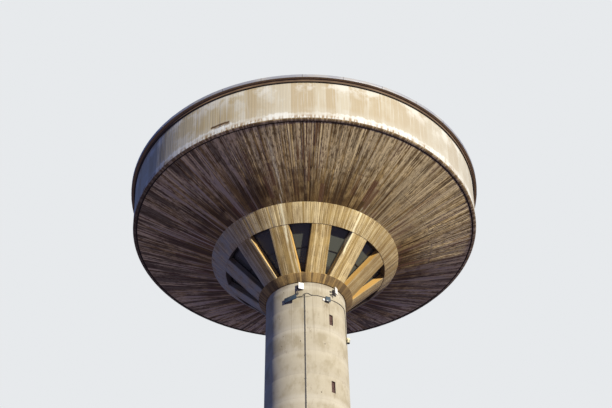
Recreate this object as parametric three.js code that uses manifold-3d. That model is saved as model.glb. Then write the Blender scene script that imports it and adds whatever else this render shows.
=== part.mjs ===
// A water tower of reinforced concrete: a hollow round shaft, a ribbed and glazed neck that
// widens upwards, and a shallow drum tank with a low roof.
// Units are millimetres and +Z is up. The origin is the middle of the shaft's foot, on the ground.
// Azimuths are degrees around the axis: 0 faces -Y, and they grow towards +X.
import * as THREE from "three";
import { mergeVertices } from "three/addons/utils/BufferGeometryUtils.js";
import Module from "manifold-3d";

const wasm = await Module();
wasm.setup();

// Driving dimensions of the whole tower
const GAP = 0.3;
const FACETS = 72;
const FACET_ANGLE = 360 / FACETS;

// Shaft, and the floor slab inside its foot
const SHAFT_RADIUS = 2200;
const SHAFT_WALL = 250;
const SHAFT_TOP = 30830;
const FOOT_HEIGHT = 200;
const STAVE_COUNT = 9;
const FIRST_STAVE_AZIMUTH = 37;

// Slit windows that light the stair, one above the other in the middle of the first stave
const SLIT_COUNT = 7;
const SLIT_WIDTH = 235;
const SLIT_HEIGHT = 650;
const SLIT_PITCH = 4000;
const TOP_SLIT_CENTRE = 28655;

// Steel door at the foot, on the side away from the slits
const DOOR_AZIMUTH = 197;
const DOORWAY_WIDTH = 1000;
const DOORWAY_HEIGHT = 2150;
const DOOR_FRAME_FACE = 60;
const DOOR_FRAME_DEPTH = 120;
const DOOR_LEAF_THICKNESS = 50;
const DOOR_SETBACK = 60;

// Neck cone, measured along its outer surface from the shaft's head to the tank
const RIB_COUNT = 12;
const RIB_AZIMUTH = 12;
const NECK_FOOT_RADIUS = 2260;
const NECK_HEAD_RADIUS = 5380;
const NECK_HEAD_HEIGHT = 33810;
const NECK_THICKNESS = 420;
const COLLAR_RADIUS = 2630;
const RING_BEAM_RADIUS = 4550;
const RIB_WIDTH = 1080;
const RIB_RECESS = 20;
const RIB_BACK = 340;
const FRAME_BACK = 400;
const GLASS_BACK = 412;
const NECK_FLOOR_THICKNESS = 200;
const STAIR_HOLE_RADIUS = 600;

// Window panes between the ribs
const MULLION_OVERLAP = 40;
const SILL_RADIUS = 2960;
const TRANSOM_RADIUS = 3560;
const TRANSOM_HEIGHT = 90;
const PANE_HEAD_RADIUS = 4480;

// Tank
const TANK_BOTTOM_RADIUS = 9760;
const TANK_BOTTOM_HEIGHT = 35290;
const TANK_BOTTOM_THICKNESS = 320;
const EDGE_GROOVE_RADIUS = 9840;
const EDGE_RADIUS = 10000;
const EDGE_FOOT = 35300;
const EDGE_LIP = 35342;
const EDGE_TOP = 35360;
const GROOVE_TOP = 35335;
const WALL_FOOT_RADIUS = 10020;
const WALL_TOP_RADIUS = 10170;
const WALL_TOP = 37880;
const WALL_THICKNESS = 260;

// Cornice and roof
const CORNICE_RADIUS = 10255;
const CORNICE_INNER_RADIUS = 9850;
const CORNICE_HEIGHT = 185;
const ROOF_EDGE_RADIUS = 10400;
const ROOF_EDGE_HEIGHT = 145;
const ROOF_CURB_RADIUS = 10150;
const ROOF_PLATEAU_RADIUS = 600;
const ROOF_RISE = 635;
const ROOF_THICKNESS = 120;
const FLASHING_THICKNESS = 25;
const FLASHING_DROP = 15;
const FLASHING_LEAN = 10;
const VENT_STEM_RADIUS = 220;
const VENT_CAP_RADIUS = 380;
const VENT_STEM_HEIGHT = 300;
const VENT_CAP_HEIGHT = 140;
const HATCH_AZIMUTH = 160;
const HATCH_RADIUS = 8200;
const HATCH_SIZE = 1100;
const HATCH_HEIGHT = 450;
const HATCH_LID_OVERHANG = 50;
const HATCH_LID_HEIGHT = 70;

// Fittings on the shaft
const CONDUIT_AZIMUTH = -1.2;
const CONDUIT_WIDTH = 60;
const CONDUIT_DEPTH = 35;
const CONDUIT_TOP = 30010;
const BRACKET_SIZE = 110;

// Floodlights: azimuth is where a housing's middle is, turn is how far it faces away from there,
// and standoff is from the wall to the back of its middle
const LIGHT_BRACKET_HEIGHT = 29760;
const LEFT_LIGHT = {
  azimuth: -20.2,
  turn: -15.5,
  standoff: 95,
  width: 790,
  depth: 50,
  height: 300,
  bottom: 29625,
};
const RIGHT_LIGHT = {
  azimuth: 31,
  turn: -8,
  standoff: 60,
  width: 280,
  depth: 80,
  height: 300,
  bottom: 29695,
};

// Aerial panels, each held by two arms that run from the wall past a short round mast
const AERIAL_THICKNESS = 50;
const ARM_SIZE = 50;
const ARM_BITE = 60;
const LEFT_AERIAL = {
  wallAzimuth: -11.2,
  mast: { azimuth: -11, distance: 2300 },
  panel: { azimuth: -5.8, distance: 2325, turn: 27, width: 310, height: 400, bottom: 30310 },
  arms: [30090, 30420],
};
const RIGHT_AERIAL = {
  wallAzimuth: 37.3,
  mast: { azimuth: 40.6, distance: 2405 },
  panel: { azimuth: 44.4, distance: 2375, turn: 19, width: 270, height: 410, bottom: 30370 },
  arms: [30300, 30490],
};
const MAST_RADIUS = 24;
const MAST_HEIGHT = 540;
const MAST_DROP = 140;
const MAST_SIDES = 12;

// Side lamp
const LAMP_AZIMUTH = 74;
const LAMP_STANDOFF = 10;
const LAMP_RADIUS = 105;
const LAMP_FOOT_RADIUS = 85;
const LAMP_HEIGHT = 330;
const LAMP_BOTTOM = 27930;
const LAMP_SIDES = 20;

// The lights' cable runs round the wall from the left floodlight, up beside the conduit, over its
// head and behind the right floodlight, and turns down to the side lamp. Points are [azimuth,
// height].
const CABLE_RADIUS = 18;
const CABLE_BITE = 2;
const CABLE_STEPS = 52;
const CABLE_SIDES = 8;
const CABLE_ROUTE = [
  [-14, 29890],
  [-9, 29890],
  [-5.5, 29895],
  [-3.6, 29950],
  [-2.4, 30040],
  [0.2, 30085],
  [3.4, 30085],
  [6.2, 30015],
  [9, 29978],
  [16.6, 29990],
  [25, 29970],
  [34, 29950],
  [45, 29975],
  [56, 30020],
  [66, 30035],
  [71.5, 29940],
  [73.6, 29600],
  [74, 29000],
  [74, 28275],
];

const MATERIALS = {
  concrete: new THREE.MeshStandardMaterial({ color: "#d9ccaa", roughness: 0.9, metalness: 0 }),
  shade: new THREE.MeshStandardMaterial({ color: "#5e4838", roughness: 0.92, metalness: 0 }),
  cornice: new THREE.MeshStandardMaterial({ color: "#6b5a48", roughness: 0.9, metalness: 0 }),
  rib: new THREE.MeshStandardMaterial({ color: "#cdb684", roughness: 0.88, metalness: 0 }),
  collar: new THREE.MeshStandardMaterial({ color: "#8c7349", roughness: 0.9, metalness: 0 }),
  frame: new THREE.MeshStandardMaterial({ color: "#3b3833", roughness: 0.6, metalness: 0.2 }),
  glass: new THREE.MeshStandardMaterial({ color: "#71786d", roughness: 0.12, metalness: 0 }),
  sheet: new THREE.MeshStandardMaterial({ color: "#b9b9bd", roughness: 0.45, metalness: 0.8 }),
  housing: new THREE.MeshStandardMaterial({ color: "#3a4658", roughness: 0.5, metalness: 0.3 }),
  panel: new THREE.MeshStandardMaterial({ color: "#f1f1ee", roughness: 0.4, metalness: 0 }),
  rubber: new THREE.MeshStandardMaterial({ color: "#4c4740", roughness: 0.8, metalness: 0 }),
  door: new THREE.MeshStandardMaterial({ color: "#6f7a74", roughness: 0.55, metalness: 0.3 }),
};

const radians = THREE.MathUtils.degToRad;

// Everything is built with a rib at azimuth 0, and the group that holds it turns to RIB_AZIMUTH.
const fromRib = (azimuth) => radians(azimuth - RIB_AZIMUTH);

// A closed three.js surface as a solid for cutting and joining.
function solidFrom(geometry) {
  const bare = geometry.clone();
  bare.deleteAttribute("normal");
  bare.deleteAttribute("uv");
  const merged = mergeVertices(bare);
  const corners = [];
  for (let i = 0; i < merged.index.count; i += 3) {
    const [a, b, c] = [0, 1, 2].map((k) => merged.index.getX(i + k));
    if (a !== b && b !== c && c !== a) corners.push(a, b, c);
  }
  const vertProperties = merged.attributes.position.array;
  const triVerts = new Uint32Array(corners);
  return new wasm.Manifold(new wasm.Mesh({ numProp: 3, vertProperties, triVerts }));
}

// A solid as a three.js surface again.
function geometryFrom(solid) {
  const mesh = solid.getMesh();
  const geometry = new THREE.BufferGeometry();
  geometry.setAttribute("position", new THREE.BufferAttribute(mesh.vertProperties, 3));
  geometry.setIndex(new THREE.BufferAttribute(mesh.triVerts, 1));
  geometry.computeVertexNormals();
  return geometry;
}

// A body turned around the axis from an outline of [radius, height] points.
function turned(outline) {
  const points = outline.map(([radius, height]) => new THREE.Vector2(radius, height));
  if (THREE.ShapeUtils.isClockWise(points)) points.reverse();
  const startsOnAxis = points.findIndex((point, i) => {
    const before = points[(i + points.length - 1) % points.length];
    return point.x === 0 && before.x === 0;
  });
  if (startsOnAxis >= 0) points.push(...points.splice(0, startsOnAxis));
  else points.push(points[0].clone());
  return solidFrom(new THREE.LatheGeometry(points, FACETS).rotateX(Math.PI / 2));
}

// An upright prism from a plan outline of [x, y] points.
function prism(outline, bottom, top) {
  const shape = new THREE.Shape(outline.map(([x, y]) => new THREE.Vector2(x, y)));
  const geometry = new THREE.ExtrudeGeometry(shape, { depth: top - bottom, bevelEnabled: false });
  return geometry.translate(0, 0, bottom);
}

// A block at an azimuth: its width lies along the wall and its depth points outwards, and a turn
// swings it about its own upright middle line.
function block(width, depth, height, innerRadius, bottom, azimuth, turn = 0) {
  const geometry = new THREE.BoxGeometry(width, depth, height).rotateZ(radians(turn));
  geometry.translate(0, -(innerRadius + depth / 2), bottom + height / 2);
  return solidFrom(geometry.rotateZ(fromRib(azimuth)));
}

// The plan point at a radius and an angle in degrees from the piece's own middle.
function polar(radius, angle) {
  return [radius * Math.sin(radians(angle)), -radius * Math.cos(radians(angle))];
}

const tower = new THREE.Group();
tower.rotation.z = radians(RIB_AZIMUTH);

function addMesh(name, geometry, material, azimuth = RIB_AZIMUTH) {
  const mesh = new THREE.Mesh(geometry, material);
  mesh.name = name;
  mesh.rotation.z = fromRib(azimuth);
  tower.add(mesh);
}

function addSolid(name, solid, material) {
  addMesh(name, geometryFrom(solid), material);
}

// The neck cone's outer surface is one straight line in section.
const neckRun = NECK_HEAD_RADIUS - NECK_FOOT_RADIUS;
const neckRise = NECK_HEAD_HEIGHT - SHAFT_TOP;
const neckLength = Math.hypot(neckRun, neckRise);
const neckAngle = Math.atan2(neckRise, neckRun);

// The section point that lies square behind the neck's surface, where that has the given radius.
function onNeck(surfaceRadius, depth = 0, alongShift = 0) {
  const along = ((surfaceRadius - NECK_FOOT_RADIUS) * neckLength) / neckRun + alongShift;
  const radius = NECK_FOOT_RADIUS + along * Math.cos(neckAngle) - depth * Math.sin(neckAngle);
  const height = SHAFT_TOP + along * Math.sin(neckAngle) + depth * Math.cos(neckAngle);
  return [radius, height];
}

// A conical band of the neck between two radii of its surface and two depths behind it.
function neckBand(lowRadius, highRadius, front, back) {
  return turned([
    onNeck(lowRadius, front, GAP),
    onNeck(highRadius, front, -GAP),
    onNeck(highRadius, back, -GAP),
    onNeck(lowRadius, back, GAP),
  ]);
}

// The foot: a round floor slab inside the shaft. It stands on the ground, as the wall does.
function addFoot() {
  const radius = SHAFT_RADIUS - SHAFT_WALL - GAP;
  const outline = [
    [0, 0],
    [radius, 0],
    [radius, FOOT_HEIGHT],
    [0, FOOT_HEIGHT],
  ];
  addSolid("foot_slab", turned(outline), MATERIALS.concrete);
}

// One stave of the shaft's wall, with its middle at azimuth 0 of its own mesh.
function staveGeometry() {
  const halfAngle = 180 / STAVE_COUNT;
  const steps = Math.round((2 * halfAngle) / FACET_ANGLE);
  const outer = [];
  const inner = [];
  for (let i = 0; i <= steps; i += 1) {
    const angle = -halfAngle + i * FACET_ANGLE;
    const side = i === 0 ? 1 : i === steps ? -1 : 0;
    const [sx, sy] = polar((side * GAP) / 2, angle + 90);
    const [ox, oy] = polar(SHAFT_RADIUS, angle);
    const [ix, iy] = polar(SHAFT_RADIUS - SHAFT_WALL, angle);
    outer.push([ox + sx, oy + sy]);
    inner.push([ix + sx, iy + sy]);
  }
  return prism([...outer, ...inner.reverse()], 0, SHAFT_TOP);
}

// A hole through the shaft's wall, in the middle of its stave.
function wallHole(width, height, bottom) {
  const geometry = new THREE.BoxGeometry(width, 4 * SHAFT_WALL, height);
  return solidFrom(geometry.translate(0, -SHAFT_RADIUS, bottom + height / 2));
}

function addShaft() {
  const plain = staveGeometry();
  let slitted = solidFrom(plain);
  for (let i = 0; i < SLIT_COUNT; i += 1) {
    const bottom = TOP_SLIT_CENTRE - i * SLIT_PITCH - SLIT_HEIGHT / 2;
    slitted = slitted.subtract(wallHole(SLIT_WIDTH, SLIT_HEIGHT, bottom));
  }
  for (let i = 0; i < STAVE_COUNT; i += 1) {
    const azimuth = FIRST_STAVE_AZIMUTH + (i * 360) / STAVE_COUNT;
    let geometry = plain;
    if (i === 0) geometry = geometryFrom(slitted);
    if (azimuth === DOOR_AZIMUTH) {
      const doorway = wallHole(DOORWAY_WIDTH, DOORWAY_HEIGHT, FOOT_HEIGHT);
      geometry = geometryFrom(solidFrom(plain).subtract(doorway));
    }
    addMesh(`shaft_wall_${i + 1}`, geometry, MATERIALS.concrete, azimuth);
  }
}

// The door stands shut in its doorway: a frame round the opening and one flush leaf in it.
function addDoor() {
  const bottom = FOOT_HEIGHT + GAP;
  const faceRadius = SHAFT_RADIUS - DOOR_SETBACK;
  const frameWidth = DOORWAY_WIDTH - 2 * GAP;
  const frameHeight = DOORWAY_HEIGHT - 2 * GAP;
  const frameInner = faceRadius - DOOR_FRAME_DEPTH;
  const holeWidth = frameWidth - 2 * DOOR_FRAME_FACE;
  const holeHeight = frameHeight - DOOR_FRAME_FACE;
  const whole = block(frameWidth, DOOR_FRAME_DEPTH, frameHeight, frameInner, bottom, DOOR_AZIMUTH);
  const cutInner = frameInner - DOOR_FRAME_DEPTH;
  const hole = block(
    holeWidth,
    3 * DOOR_FRAME_DEPTH,
    2 * holeHeight,
    cutInner,
    bottom - holeHeight,
    DOOR_AZIMUTH,
  );
  addSolid("door_frame", whole.subtract(hole), MATERIALS.door);
  const leafInner = faceRadius - DOOR_FRAME_DEPTH / 2 - DOOR_LEAF_THICKNESS / 2;
  const leafWidth = holeWidth - 2 * GAP;
  const leafHeight = holeHeight - 2 * GAP;
  const leaf = block(
    leafWidth,
    DOOR_LEAF_THICKNESS,
    leafHeight,
    leafInner,
    bottom + GAP,
    DOOR_AZIMUTH,
  );
  addSolid("door_leaf", leaf, MATERIALS.door);
}

// The collar stands on the shaft and is the solid foot of the neck cone.
function addCollar() {
  const innerRadius = SHAFT_RADIUS - SHAFT_WALL;
  const back = onNeck(COLLAR_RADIUS, NECK_THICKNESS);
  const outline = [
    [innerRadius, SHAFT_TOP + GAP],
    [NECK_FOOT_RADIUS, SHAFT_TOP + GAP],
    onNeck(COLLAR_RADIUS),
    back,
    [innerRadius, back[1]],
  ];
  addSolid("collar", turned(outline), MATERIALS.collar);
}

// The floor of the glazed room, inside the collar, with a round hole for the stair.
function addNeckFloor() {
  const top = onNeck(COLLAR_RADIUS, NECK_THICKNESS)[1];
  const radius = SHAFT_RADIUS - SHAFT_WALL - GAP;
  const outline = [
    [STAIR_HOLE_RADIUS, top - NECK_FLOOR_THICKNESS],
    [radius, top - NECK_FLOOR_THICKNESS],
    [radius, top],
    [STAIR_HOLE_RADIUS, top],
  ];
  addSolid("neck_floor", turned(outline), MATERIALS.concrete);
}

// The ribs have parallel sides and lie a little behind the collar's and the ring beam's faces.
function addRibs() {
  const band = neckBand(COLLAR_RADIUS, RING_BEAM_RADIUS, RIB_RECESS, RIB_BACK);
  const halfWidth = RIB_WIDTH / 2;
  const plan = [
    [-halfWidth, 0],
    [-halfWidth, -NECK_HEAD_RADIUS],
    [halfWidth, -NECK_HEAD_RADIUS],
    [halfWidth, 0],
  ];
  const slice = solidFrom(prism(plan, SHAFT_TOP, NECK_HEAD_HEIGHT + NECK_THICKNESS));
  const rib = geometryFrom(band.intersect(slice));
  for (let i = 0; i < RIB_COUNT; i += 1) {
    const azimuth = RIB_AZIMUTH + (i * 360) / RIB_COUNT;
    addMesh(`rib_${String(i + 1).padStart(2, "0")}`, rib, MATERIALS.rib, azimuth);
  }
}

// The window frame is a conical lattice behind the ribs: mullions at the ribs, and between them
// a sill, a transom and a deep head. Its panes narrow downwards, because the ribs do not.
function addNeckWindows() {
  const wholeFrame = neckBand(COLLAR_RADIUS, RING_BEAM_RADIUS, RIB_BACK + GAP, FRAME_BACK);
  const cutFront = RIB_BACK - MULLION_OVERLAP;
  const cutBack = FRAME_BACK + MULLION_OVERLAP;
  const transomRun = (TRANSOM_HEIGHT * neckRun) / neckLength / 2;
  const lowBand = neckBand(SILL_RADIUS, TRANSOM_RADIUS - transomRun, cutFront, cutBack);
  const highBand = neckBand(TRANSOM_RADIUS + transomRun, PANE_HEAD_RADIUS, cutFront, cutBack);
  const bayAngle = 180 / RIB_COUNT;
  const mullionHalf = RIB_WIDTH / 2 + MULLION_OVERLAP;
  const apex = polar(mullionHalf / Math.sin(radians(bayAngle)), 0);
  const plan = [
    apex,
    [polar(NECK_HEAD_RADIUS, -bayAngle)[0], apex[1] + polar(NECK_HEAD_RADIUS, bayAngle)[1]],
    [polar(NECK_HEAD_RADIUS, bayAngle)[0], apex[1] + polar(NECK_HEAD_RADIUS, bayAngle)[1]],
  ];
  const bay = prism(plan, SHAFT_TOP, NECK_HEAD_HEIGHT + NECK_THICKNESS);
  let frame = wholeFrame;
  for (let i = 0; i < RIB_COUNT; i += 1) {
    const turn = radians(((i + 0.5) * 360) / RIB_COUNT);
    const cutter = solidFrom(bay.clone().rotateZ(turn));
    frame = frame.subtract(lowBand.intersect(cutter)).subtract(highBand.intersect(cutter));
  }
  addSolid("neck_window_frame", frame, MATERIALS.frame);
  const glass = neckBand(COLLAR_RADIUS, RING_BEAM_RADIUS, FRAME_BACK + GAP, GLASS_BACK);
  addSolid("neck_glazing", glass, MATERIALS.glass);
}

// The ring beam ties the ribs' heads together, and the tank's floor and cone start from it.
const ringBeamTop = NECK_HEAD_HEIGHT + TANK_BOTTOM_THICKNESS;
const ringBeamInner = onNeck(RING_BEAM_RADIUS, NECK_THICKNESS)[0];

function addRingBeam() {
  const outline = [
    onNeck(RING_BEAM_RADIUS),
    [NECK_HEAD_RADIUS, NECK_HEAD_HEIGHT],
    [NECK_HEAD_RADIUS, ringBeamTop],
    [ringBeamInner, ringBeamTop],
    onNeck(RING_BEAM_RADIUS, NECK_THICKNESS),
  ];
  addSolid("ring_beam", turned(outline), MATERIALS.rib);
}

function addTankFloor() {
  const radius = ringBeamInner - GAP;
  const outline = [
    [0, NECK_HEAD_HEIGHT],
    [radius, NECK_HEAD_HEIGHT],
    [radius, ringBeamTop],
    [0, ringBeamTop],
  ];
  addSolid("tank_floor", turned(outline), MATERIALS.concrete);
}

// The tank's conical bottom runs from the ring beam out to the edge ring.
function addTankBottom() {
  const outline = [
    [NECK_HEAD_RADIUS + GAP, NECK_HEAD_HEIGHT],
    [TANK_BOTTOM_RADIUS, TANK_BOTTOM_HEIGHT],
    [TANK_BOTTOM_RADIUS, TANK_BOTTOM_HEIGHT + TANK_BOTTOM_THICKNESS],
    [NECK_HEAD_RADIUS + GAP, ringBeamTop],
  ];
  addSolid("tank_bottom", turned(outline), MATERIALS.shade);
}

// The edge ring carries on the cone's slope under the wall, past a drip groove.
function addEdgeRing() {
  const innerRadius = TANK_BOTTOM_RADIUS + GAP;
  const outline = [
    [EDGE_GROOVE_RADIUS, EDGE_FOOT],
    [EDGE_RADIUS, EDGE_LIP],
    [EDGE_RADIUS, EDGE_TOP],
    [innerRadius, EDGE_TOP],
    [innerRadius, GROOVE_TOP],
    [EDGE_GROOVE_RADIUS, GROOVE_TOP],
  ];
  addSolid("edge_ring", turned(outline), MATERIALS.cornice);
}

function addTankWall() {
  const foot = EDGE_TOP + GAP;
  const outline = [
    [WALL_FOOT_RADIUS - WALL_THICKNESS + GAP, foot],
    [WALL_FOOT_RADIUS, foot],
    [WALL_TOP_RADIUS, WALL_TOP],
    [WALL_TOP_RADIUS - WALL_THICKNESS, WALL_TOP],
  ];
  addSolid("tank_wall", turned(outline), MATERIALS.concrete);
}

const corniceFoot = WALL_TOP + GAP;
const corniceTop = corniceFoot + CORNICE_HEIGHT;

function addCornice() {
  const outline = [
    [CORNICE_INNER_RADIUS, corniceFoot],
    [CORNICE_RADIUS, corniceFoot],
    [CORNICE_RADIUS, corniceTop],
    [CORNICE_INNER_RADIUS, corniceTop],
  ];
  addSolid("cornice", turned(outline), MATERIALS.cornice);
}

// The roof is a low cone with a flat seat on the cornice and a raised edge under the flashing.
const roofFoot = corniceTop + GAP;
const roofPlateau = roofFoot + ROOF_RISE;
const roofEdgeTop = roofFoot + ROOF_EDGE_HEIGHT;

function roofSolid(lift) {
  const outline = [
    [0, roofPlateau - ROOF_THICKNESS + lift],
    [CORNICE_INNER_RADIUS, roofFoot + lift],
    [ROOF_EDGE_RADIUS, roofFoot + lift],
    [ROOF_EDGE_RADIUS, roofEdgeTop + lift],
    [ROOF_CURB_RADIUS, roofEdgeTop + lift],
    [ROOF_CURB_RADIUS, roofFoot + ROOF_THICKNESS + lift],
    [ROOF_PLATEAU_RADIUS, roofPlateau + lift],
    [0, roofPlateau + lift],
  ];
  return turned(outline);
}

function addRoof() {
  addSolid("roof_slab", roofSolid(0), MATERIALS.concrete);
  const inner = ROOF_EDGE_RADIUS + GAP;
  const outer = inner + FLASHING_THICKNESS;
  const under = roofEdgeTop + GAP;
  const flashing = turned([
    [inner, corniceTop - FLASHING_DROP],
    [outer, corniceTop - FLASHING_DROP],
    [outer + FLASHING_LEAN, under + FLASHING_THICKNESS],
    [ROOF_CURB_RADIUS, under + FLASHING_THICKNESS],
    [ROOF_CURB_RADIUS, under],
    [inner, under],
  ]);
  addSolid("roof_flashing", flashing, MATERIALS.sheet);
}

// A mushroom vent on the roof's middle and a hatch near its edge.
function addRoofFittings() {
  const foot = roofPlateau + GAP;
  const neck = foot + VENT_STEM_HEIGHT;
  const vent = turned([
    [0, foot],
    [VENT_STEM_RADIUS, foot],
    [VENT_STEM_RADIUS, neck],
    [VENT_CAP_RADIUS, neck],
    [VENT_STEM_RADIUS, neck + VENT_CAP_HEIGHT],
    [0, neck + VENT_CAP_HEIGHT],
  ]);
  addSolid("roof_vent", vent, MATERIALS.sheet);
  const lidSize = HATCH_SIZE + 2 * HATCH_LID_OVERHANG;
  const curbInner = HATCH_RADIUS - HATCH_SIZE / 2;
  const lidInner = HATCH_RADIUS - lidSize / 2;
  const curbFoot = roofFoot + ROOF_THICKNESS;
  const lidFoot = curbFoot + HATCH_HEIGHT;
  const curb = block(HATCH_SIZE, HATCH_SIZE, HATCH_HEIGHT, curbInner, curbFoot, HATCH_AZIMUTH);
  const lid = block(lidSize, lidSize, HATCH_LID_HEIGHT, lidInner, lidFoot, HATCH_AZIMUTH);
  const hatch = curb.subtract(roofSolid(GAP)).add(lid);
  addSolid("roof_hatch", hatch, MATERIALS.sheet);
}

// The shaft with a hair of clearance: what is fixed to the wall is cut to sit on its facets.
const shaftClearance = turned([
  [0, 0],
  [SHAFT_RADIUS + GAP, 0],
  [SHAFT_RADIUS + GAP, SHAFT_TOP],
  [0, SHAFT_TOP],
]);
const onShaft = (solid) => solid.subtract(shaftClearance);

// A square bracket that stands out from the wall by its reach.
function bracket(centreHeight, azimuth, reach) {
  const bottom = centreHeight - BRACKET_SIZE / 2;
  const inner = SHAFT_RADIUS - BRACKET_SIZE;
  return block(BRACKET_SIZE, BRACKET_SIZE + reach, BRACKET_SIZE, inner, bottom, azimuth);
}

function addConduit() {
  const inner = SHAFT_RADIUS - CONDUIT_WIDTH;
  const depth = CONDUIT_WIDTH + CONDUIT_DEPTH;
  const bottom = FOOT_HEIGHT;
  const height = CONDUIT_TOP - bottom;
  const strip = block(CONDUIT_WIDTH, depth, height, inner, bottom, CONDUIT_AZIMUTH);
  addSolid("down_conductor", onShaft(strip), MATERIALS.rubber);
}

// A floodlight: a flat housing that stands off the wall on one bracket.
function addFloodlight(name, { azimuth, turn, standoff, width, depth, height, bottom }) {
  const inner = SHAFT_RADIUS + standoff;
  const housing = block(width, depth, height, inner, bottom, azimuth, turn);
  const arm = bracket(LIGHT_BRACKET_HEIGHT, azimuth, standoff + depth / 2);
  addSolid(name, onShaft(housing.add(arm)), MATERIALS.housing);
}

function addFloodlights() {
  addFloodlight("floodlight_left", LEFT_LIGHT);
  addFloodlight("floodlight_right", RIGHT_LIGHT);
}

// A square bar between two plan points, with its middle line at a height.
function bar([startX, startY], [endX, endY], size, height) {
  const length = Math.hypot(endX - startX, endY - startY);
  const geometry = new THREE.BoxGeometry(length, size, size);
  geometry.rotateZ(Math.atan2(endY - startY, endX - startX));
  return solidFrom(geometry.translate((startX + endX) / 2, (startY + endY) / 2, height));
}

// An aerial panel beside its mast. Each arm runs from the wall to the mast and on to the panel.
function addAerial(name, { wallAzimuth, mast, panel, arms }) {
  const wallPoint = polar(SHAFT_RADIUS - ARM_BITE, wallAzimuth - RIB_AZIMUTH);
  const mastPoint = polar(mast.distance, mast.azimuth - RIB_AZIMUTH);
  const panelPoint = polar(panel.distance, panel.azimuth - RIB_AZIMUTH);
  const post = new THREE.CylinderGeometry(MAST_RADIUS, MAST_RADIUS, MAST_HEIGHT, MAST_SIDES);
  const [lowArm] = arms;
  const postMiddle = lowArm - MAST_DROP + MAST_HEIGHT / 2;
  post.rotateX(Math.PI / 2).translate(...mastPoint, postMiddle);
  const inner = panel.distance - AERIAL_THICKNESS / 2;
  const { width, height, bottom, azimuth, turn } = panel;
  let aerial = block(width, AERIAL_THICKNESS, height, inner, bottom, azimuth, turn);
  aerial = aerial.add(solidFrom(post));
  for (const arm of arms) aerial = aerial.add(bar(wallPoint, mastPoint, ARM_SIZE, arm));
  aerial = aerial.add(bar(mastPoint, panelPoint, ARM_SIZE, bottom + height / 2));
  addSolid(name, onShaft(aerial), MATERIALS.panel);
}

function addAerials() {
  addAerial("aerial_left", LEFT_AERIAL);
  addAerial("aerial_right", RIGHT_AERIAL);
}

// The lights' cable, a round tube that bites a little into the wall's clearance.
function addCable() {
  const radius = SHAFT_RADIUS + CABLE_RADIUS - CABLE_BITE;
  const points = CABLE_ROUTE.map(([azimuth, height]) => {
    const [x, y] = polar(radius, azimuth - RIB_AZIMUTH);
    return new THREE.Vector3(x, y, height);
  });
  const route = new THREE.CatmullRomCurve3(points);
  const section = new THREE.Shape(
    Array.from({ length: CABLE_SIDES }, (_, i) => {
      const turn = ((i + 0.5) * 2 * Math.PI) / CABLE_SIDES;
      return new THREE.Vector2(CABLE_RADIUS * Math.cos(turn), CABLE_RADIUS * Math.sin(turn));
    }),
  );
  const options = { steps: CABLE_STEPS, extrudePath: route, bevelEnabled: false };
  const tube = solidFrom(new THREE.ExtrudeGeometry(section, options));
  addSolid("light_cable", onShaft(tube), MATERIALS.rubber);
}

// The side lamp: a round bulkhead lantern on a bracket.
function addSideLamp() {
  const distance = SHAFT_RADIUS + LAMP_STANDOFF + LAMP_RADIUS;
  const sizes = [LAMP_RADIUS, LAMP_FOOT_RADIUS, LAMP_HEIGHT, LAMP_SIDES];
  const lantern = new THREE.CylinderGeometry(...sizes);
  lantern.rotateX(Math.PI / 2).translate(0, -distance, LAMP_BOTTOM + LAMP_HEIGHT / 2);
  const body = solidFrom(lantern.rotateZ(fromRib(LAMP_AZIMUTH)));
  const arm = bracket(LAMP_BOTTOM + LAMP_HEIGHT / 2, LAMP_AZIMUTH, LAMP_RADIUS);
  addSolid("side_lamp", onShaft(body.add(arm)), MATERIALS.panel);
}

addFoot();
addShaft();
addDoor();
addCollar();
addNeckFloor();
addRibs();
addNeckWindows();
addRingBeam();
addTankFloor();
addTankBottom();
addEdgeRing();
addTankWall();
addCornice();
addRoof();
addRoofFittings();
addConduit();
addFloodlights();
addAerials();
addCable();
addSideLamp();

export default tower;
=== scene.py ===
# %% [markdown]
# A concrete water tower, seen from the ground.
# It is a hollow round shaft, a neck of twelve ribs with windows between them, and a wide, shallow
# drum tank. Nearly all of it is concrete cast against boards, so the lesson is about what boards,
# rain and lime do to a plain surface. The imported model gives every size, and each dressed piece
# stands exactly where its solid stands.

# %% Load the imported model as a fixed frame
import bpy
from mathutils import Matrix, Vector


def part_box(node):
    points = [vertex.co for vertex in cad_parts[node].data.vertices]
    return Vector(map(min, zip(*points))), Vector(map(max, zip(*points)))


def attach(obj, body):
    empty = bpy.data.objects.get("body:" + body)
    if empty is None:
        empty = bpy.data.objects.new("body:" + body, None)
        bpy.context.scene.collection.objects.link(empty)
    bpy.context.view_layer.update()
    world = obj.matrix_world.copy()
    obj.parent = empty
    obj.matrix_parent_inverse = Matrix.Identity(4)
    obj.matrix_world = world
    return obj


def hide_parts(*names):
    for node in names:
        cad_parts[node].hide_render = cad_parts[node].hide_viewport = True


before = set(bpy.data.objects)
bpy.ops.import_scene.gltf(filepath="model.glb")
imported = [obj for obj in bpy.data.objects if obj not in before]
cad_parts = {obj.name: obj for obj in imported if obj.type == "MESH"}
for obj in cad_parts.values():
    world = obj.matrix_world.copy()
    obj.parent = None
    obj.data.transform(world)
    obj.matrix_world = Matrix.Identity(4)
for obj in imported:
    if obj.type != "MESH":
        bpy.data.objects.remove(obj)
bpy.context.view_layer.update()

# %% Libraries
import random
from math import asin, atan2, copysign, cos, degrees, floor, pi, radians, sin, tan

import bmesh
import bpy
import numpy as np
from mathutils import Matrix, Vector


def add_object(name, data):
    """A new object in the scene."""
    made = bpy.data.objects.new(name, data)
    bpy.context.scene.collection.objects.link(made)
    return made


def axes(x, y, z):
    """The turn that carries X, Y and Z to three other directions."""
    return Matrix((x, y, z)).transposed().to_4x4()


print("Blender", bpy.app.version_string)

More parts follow.
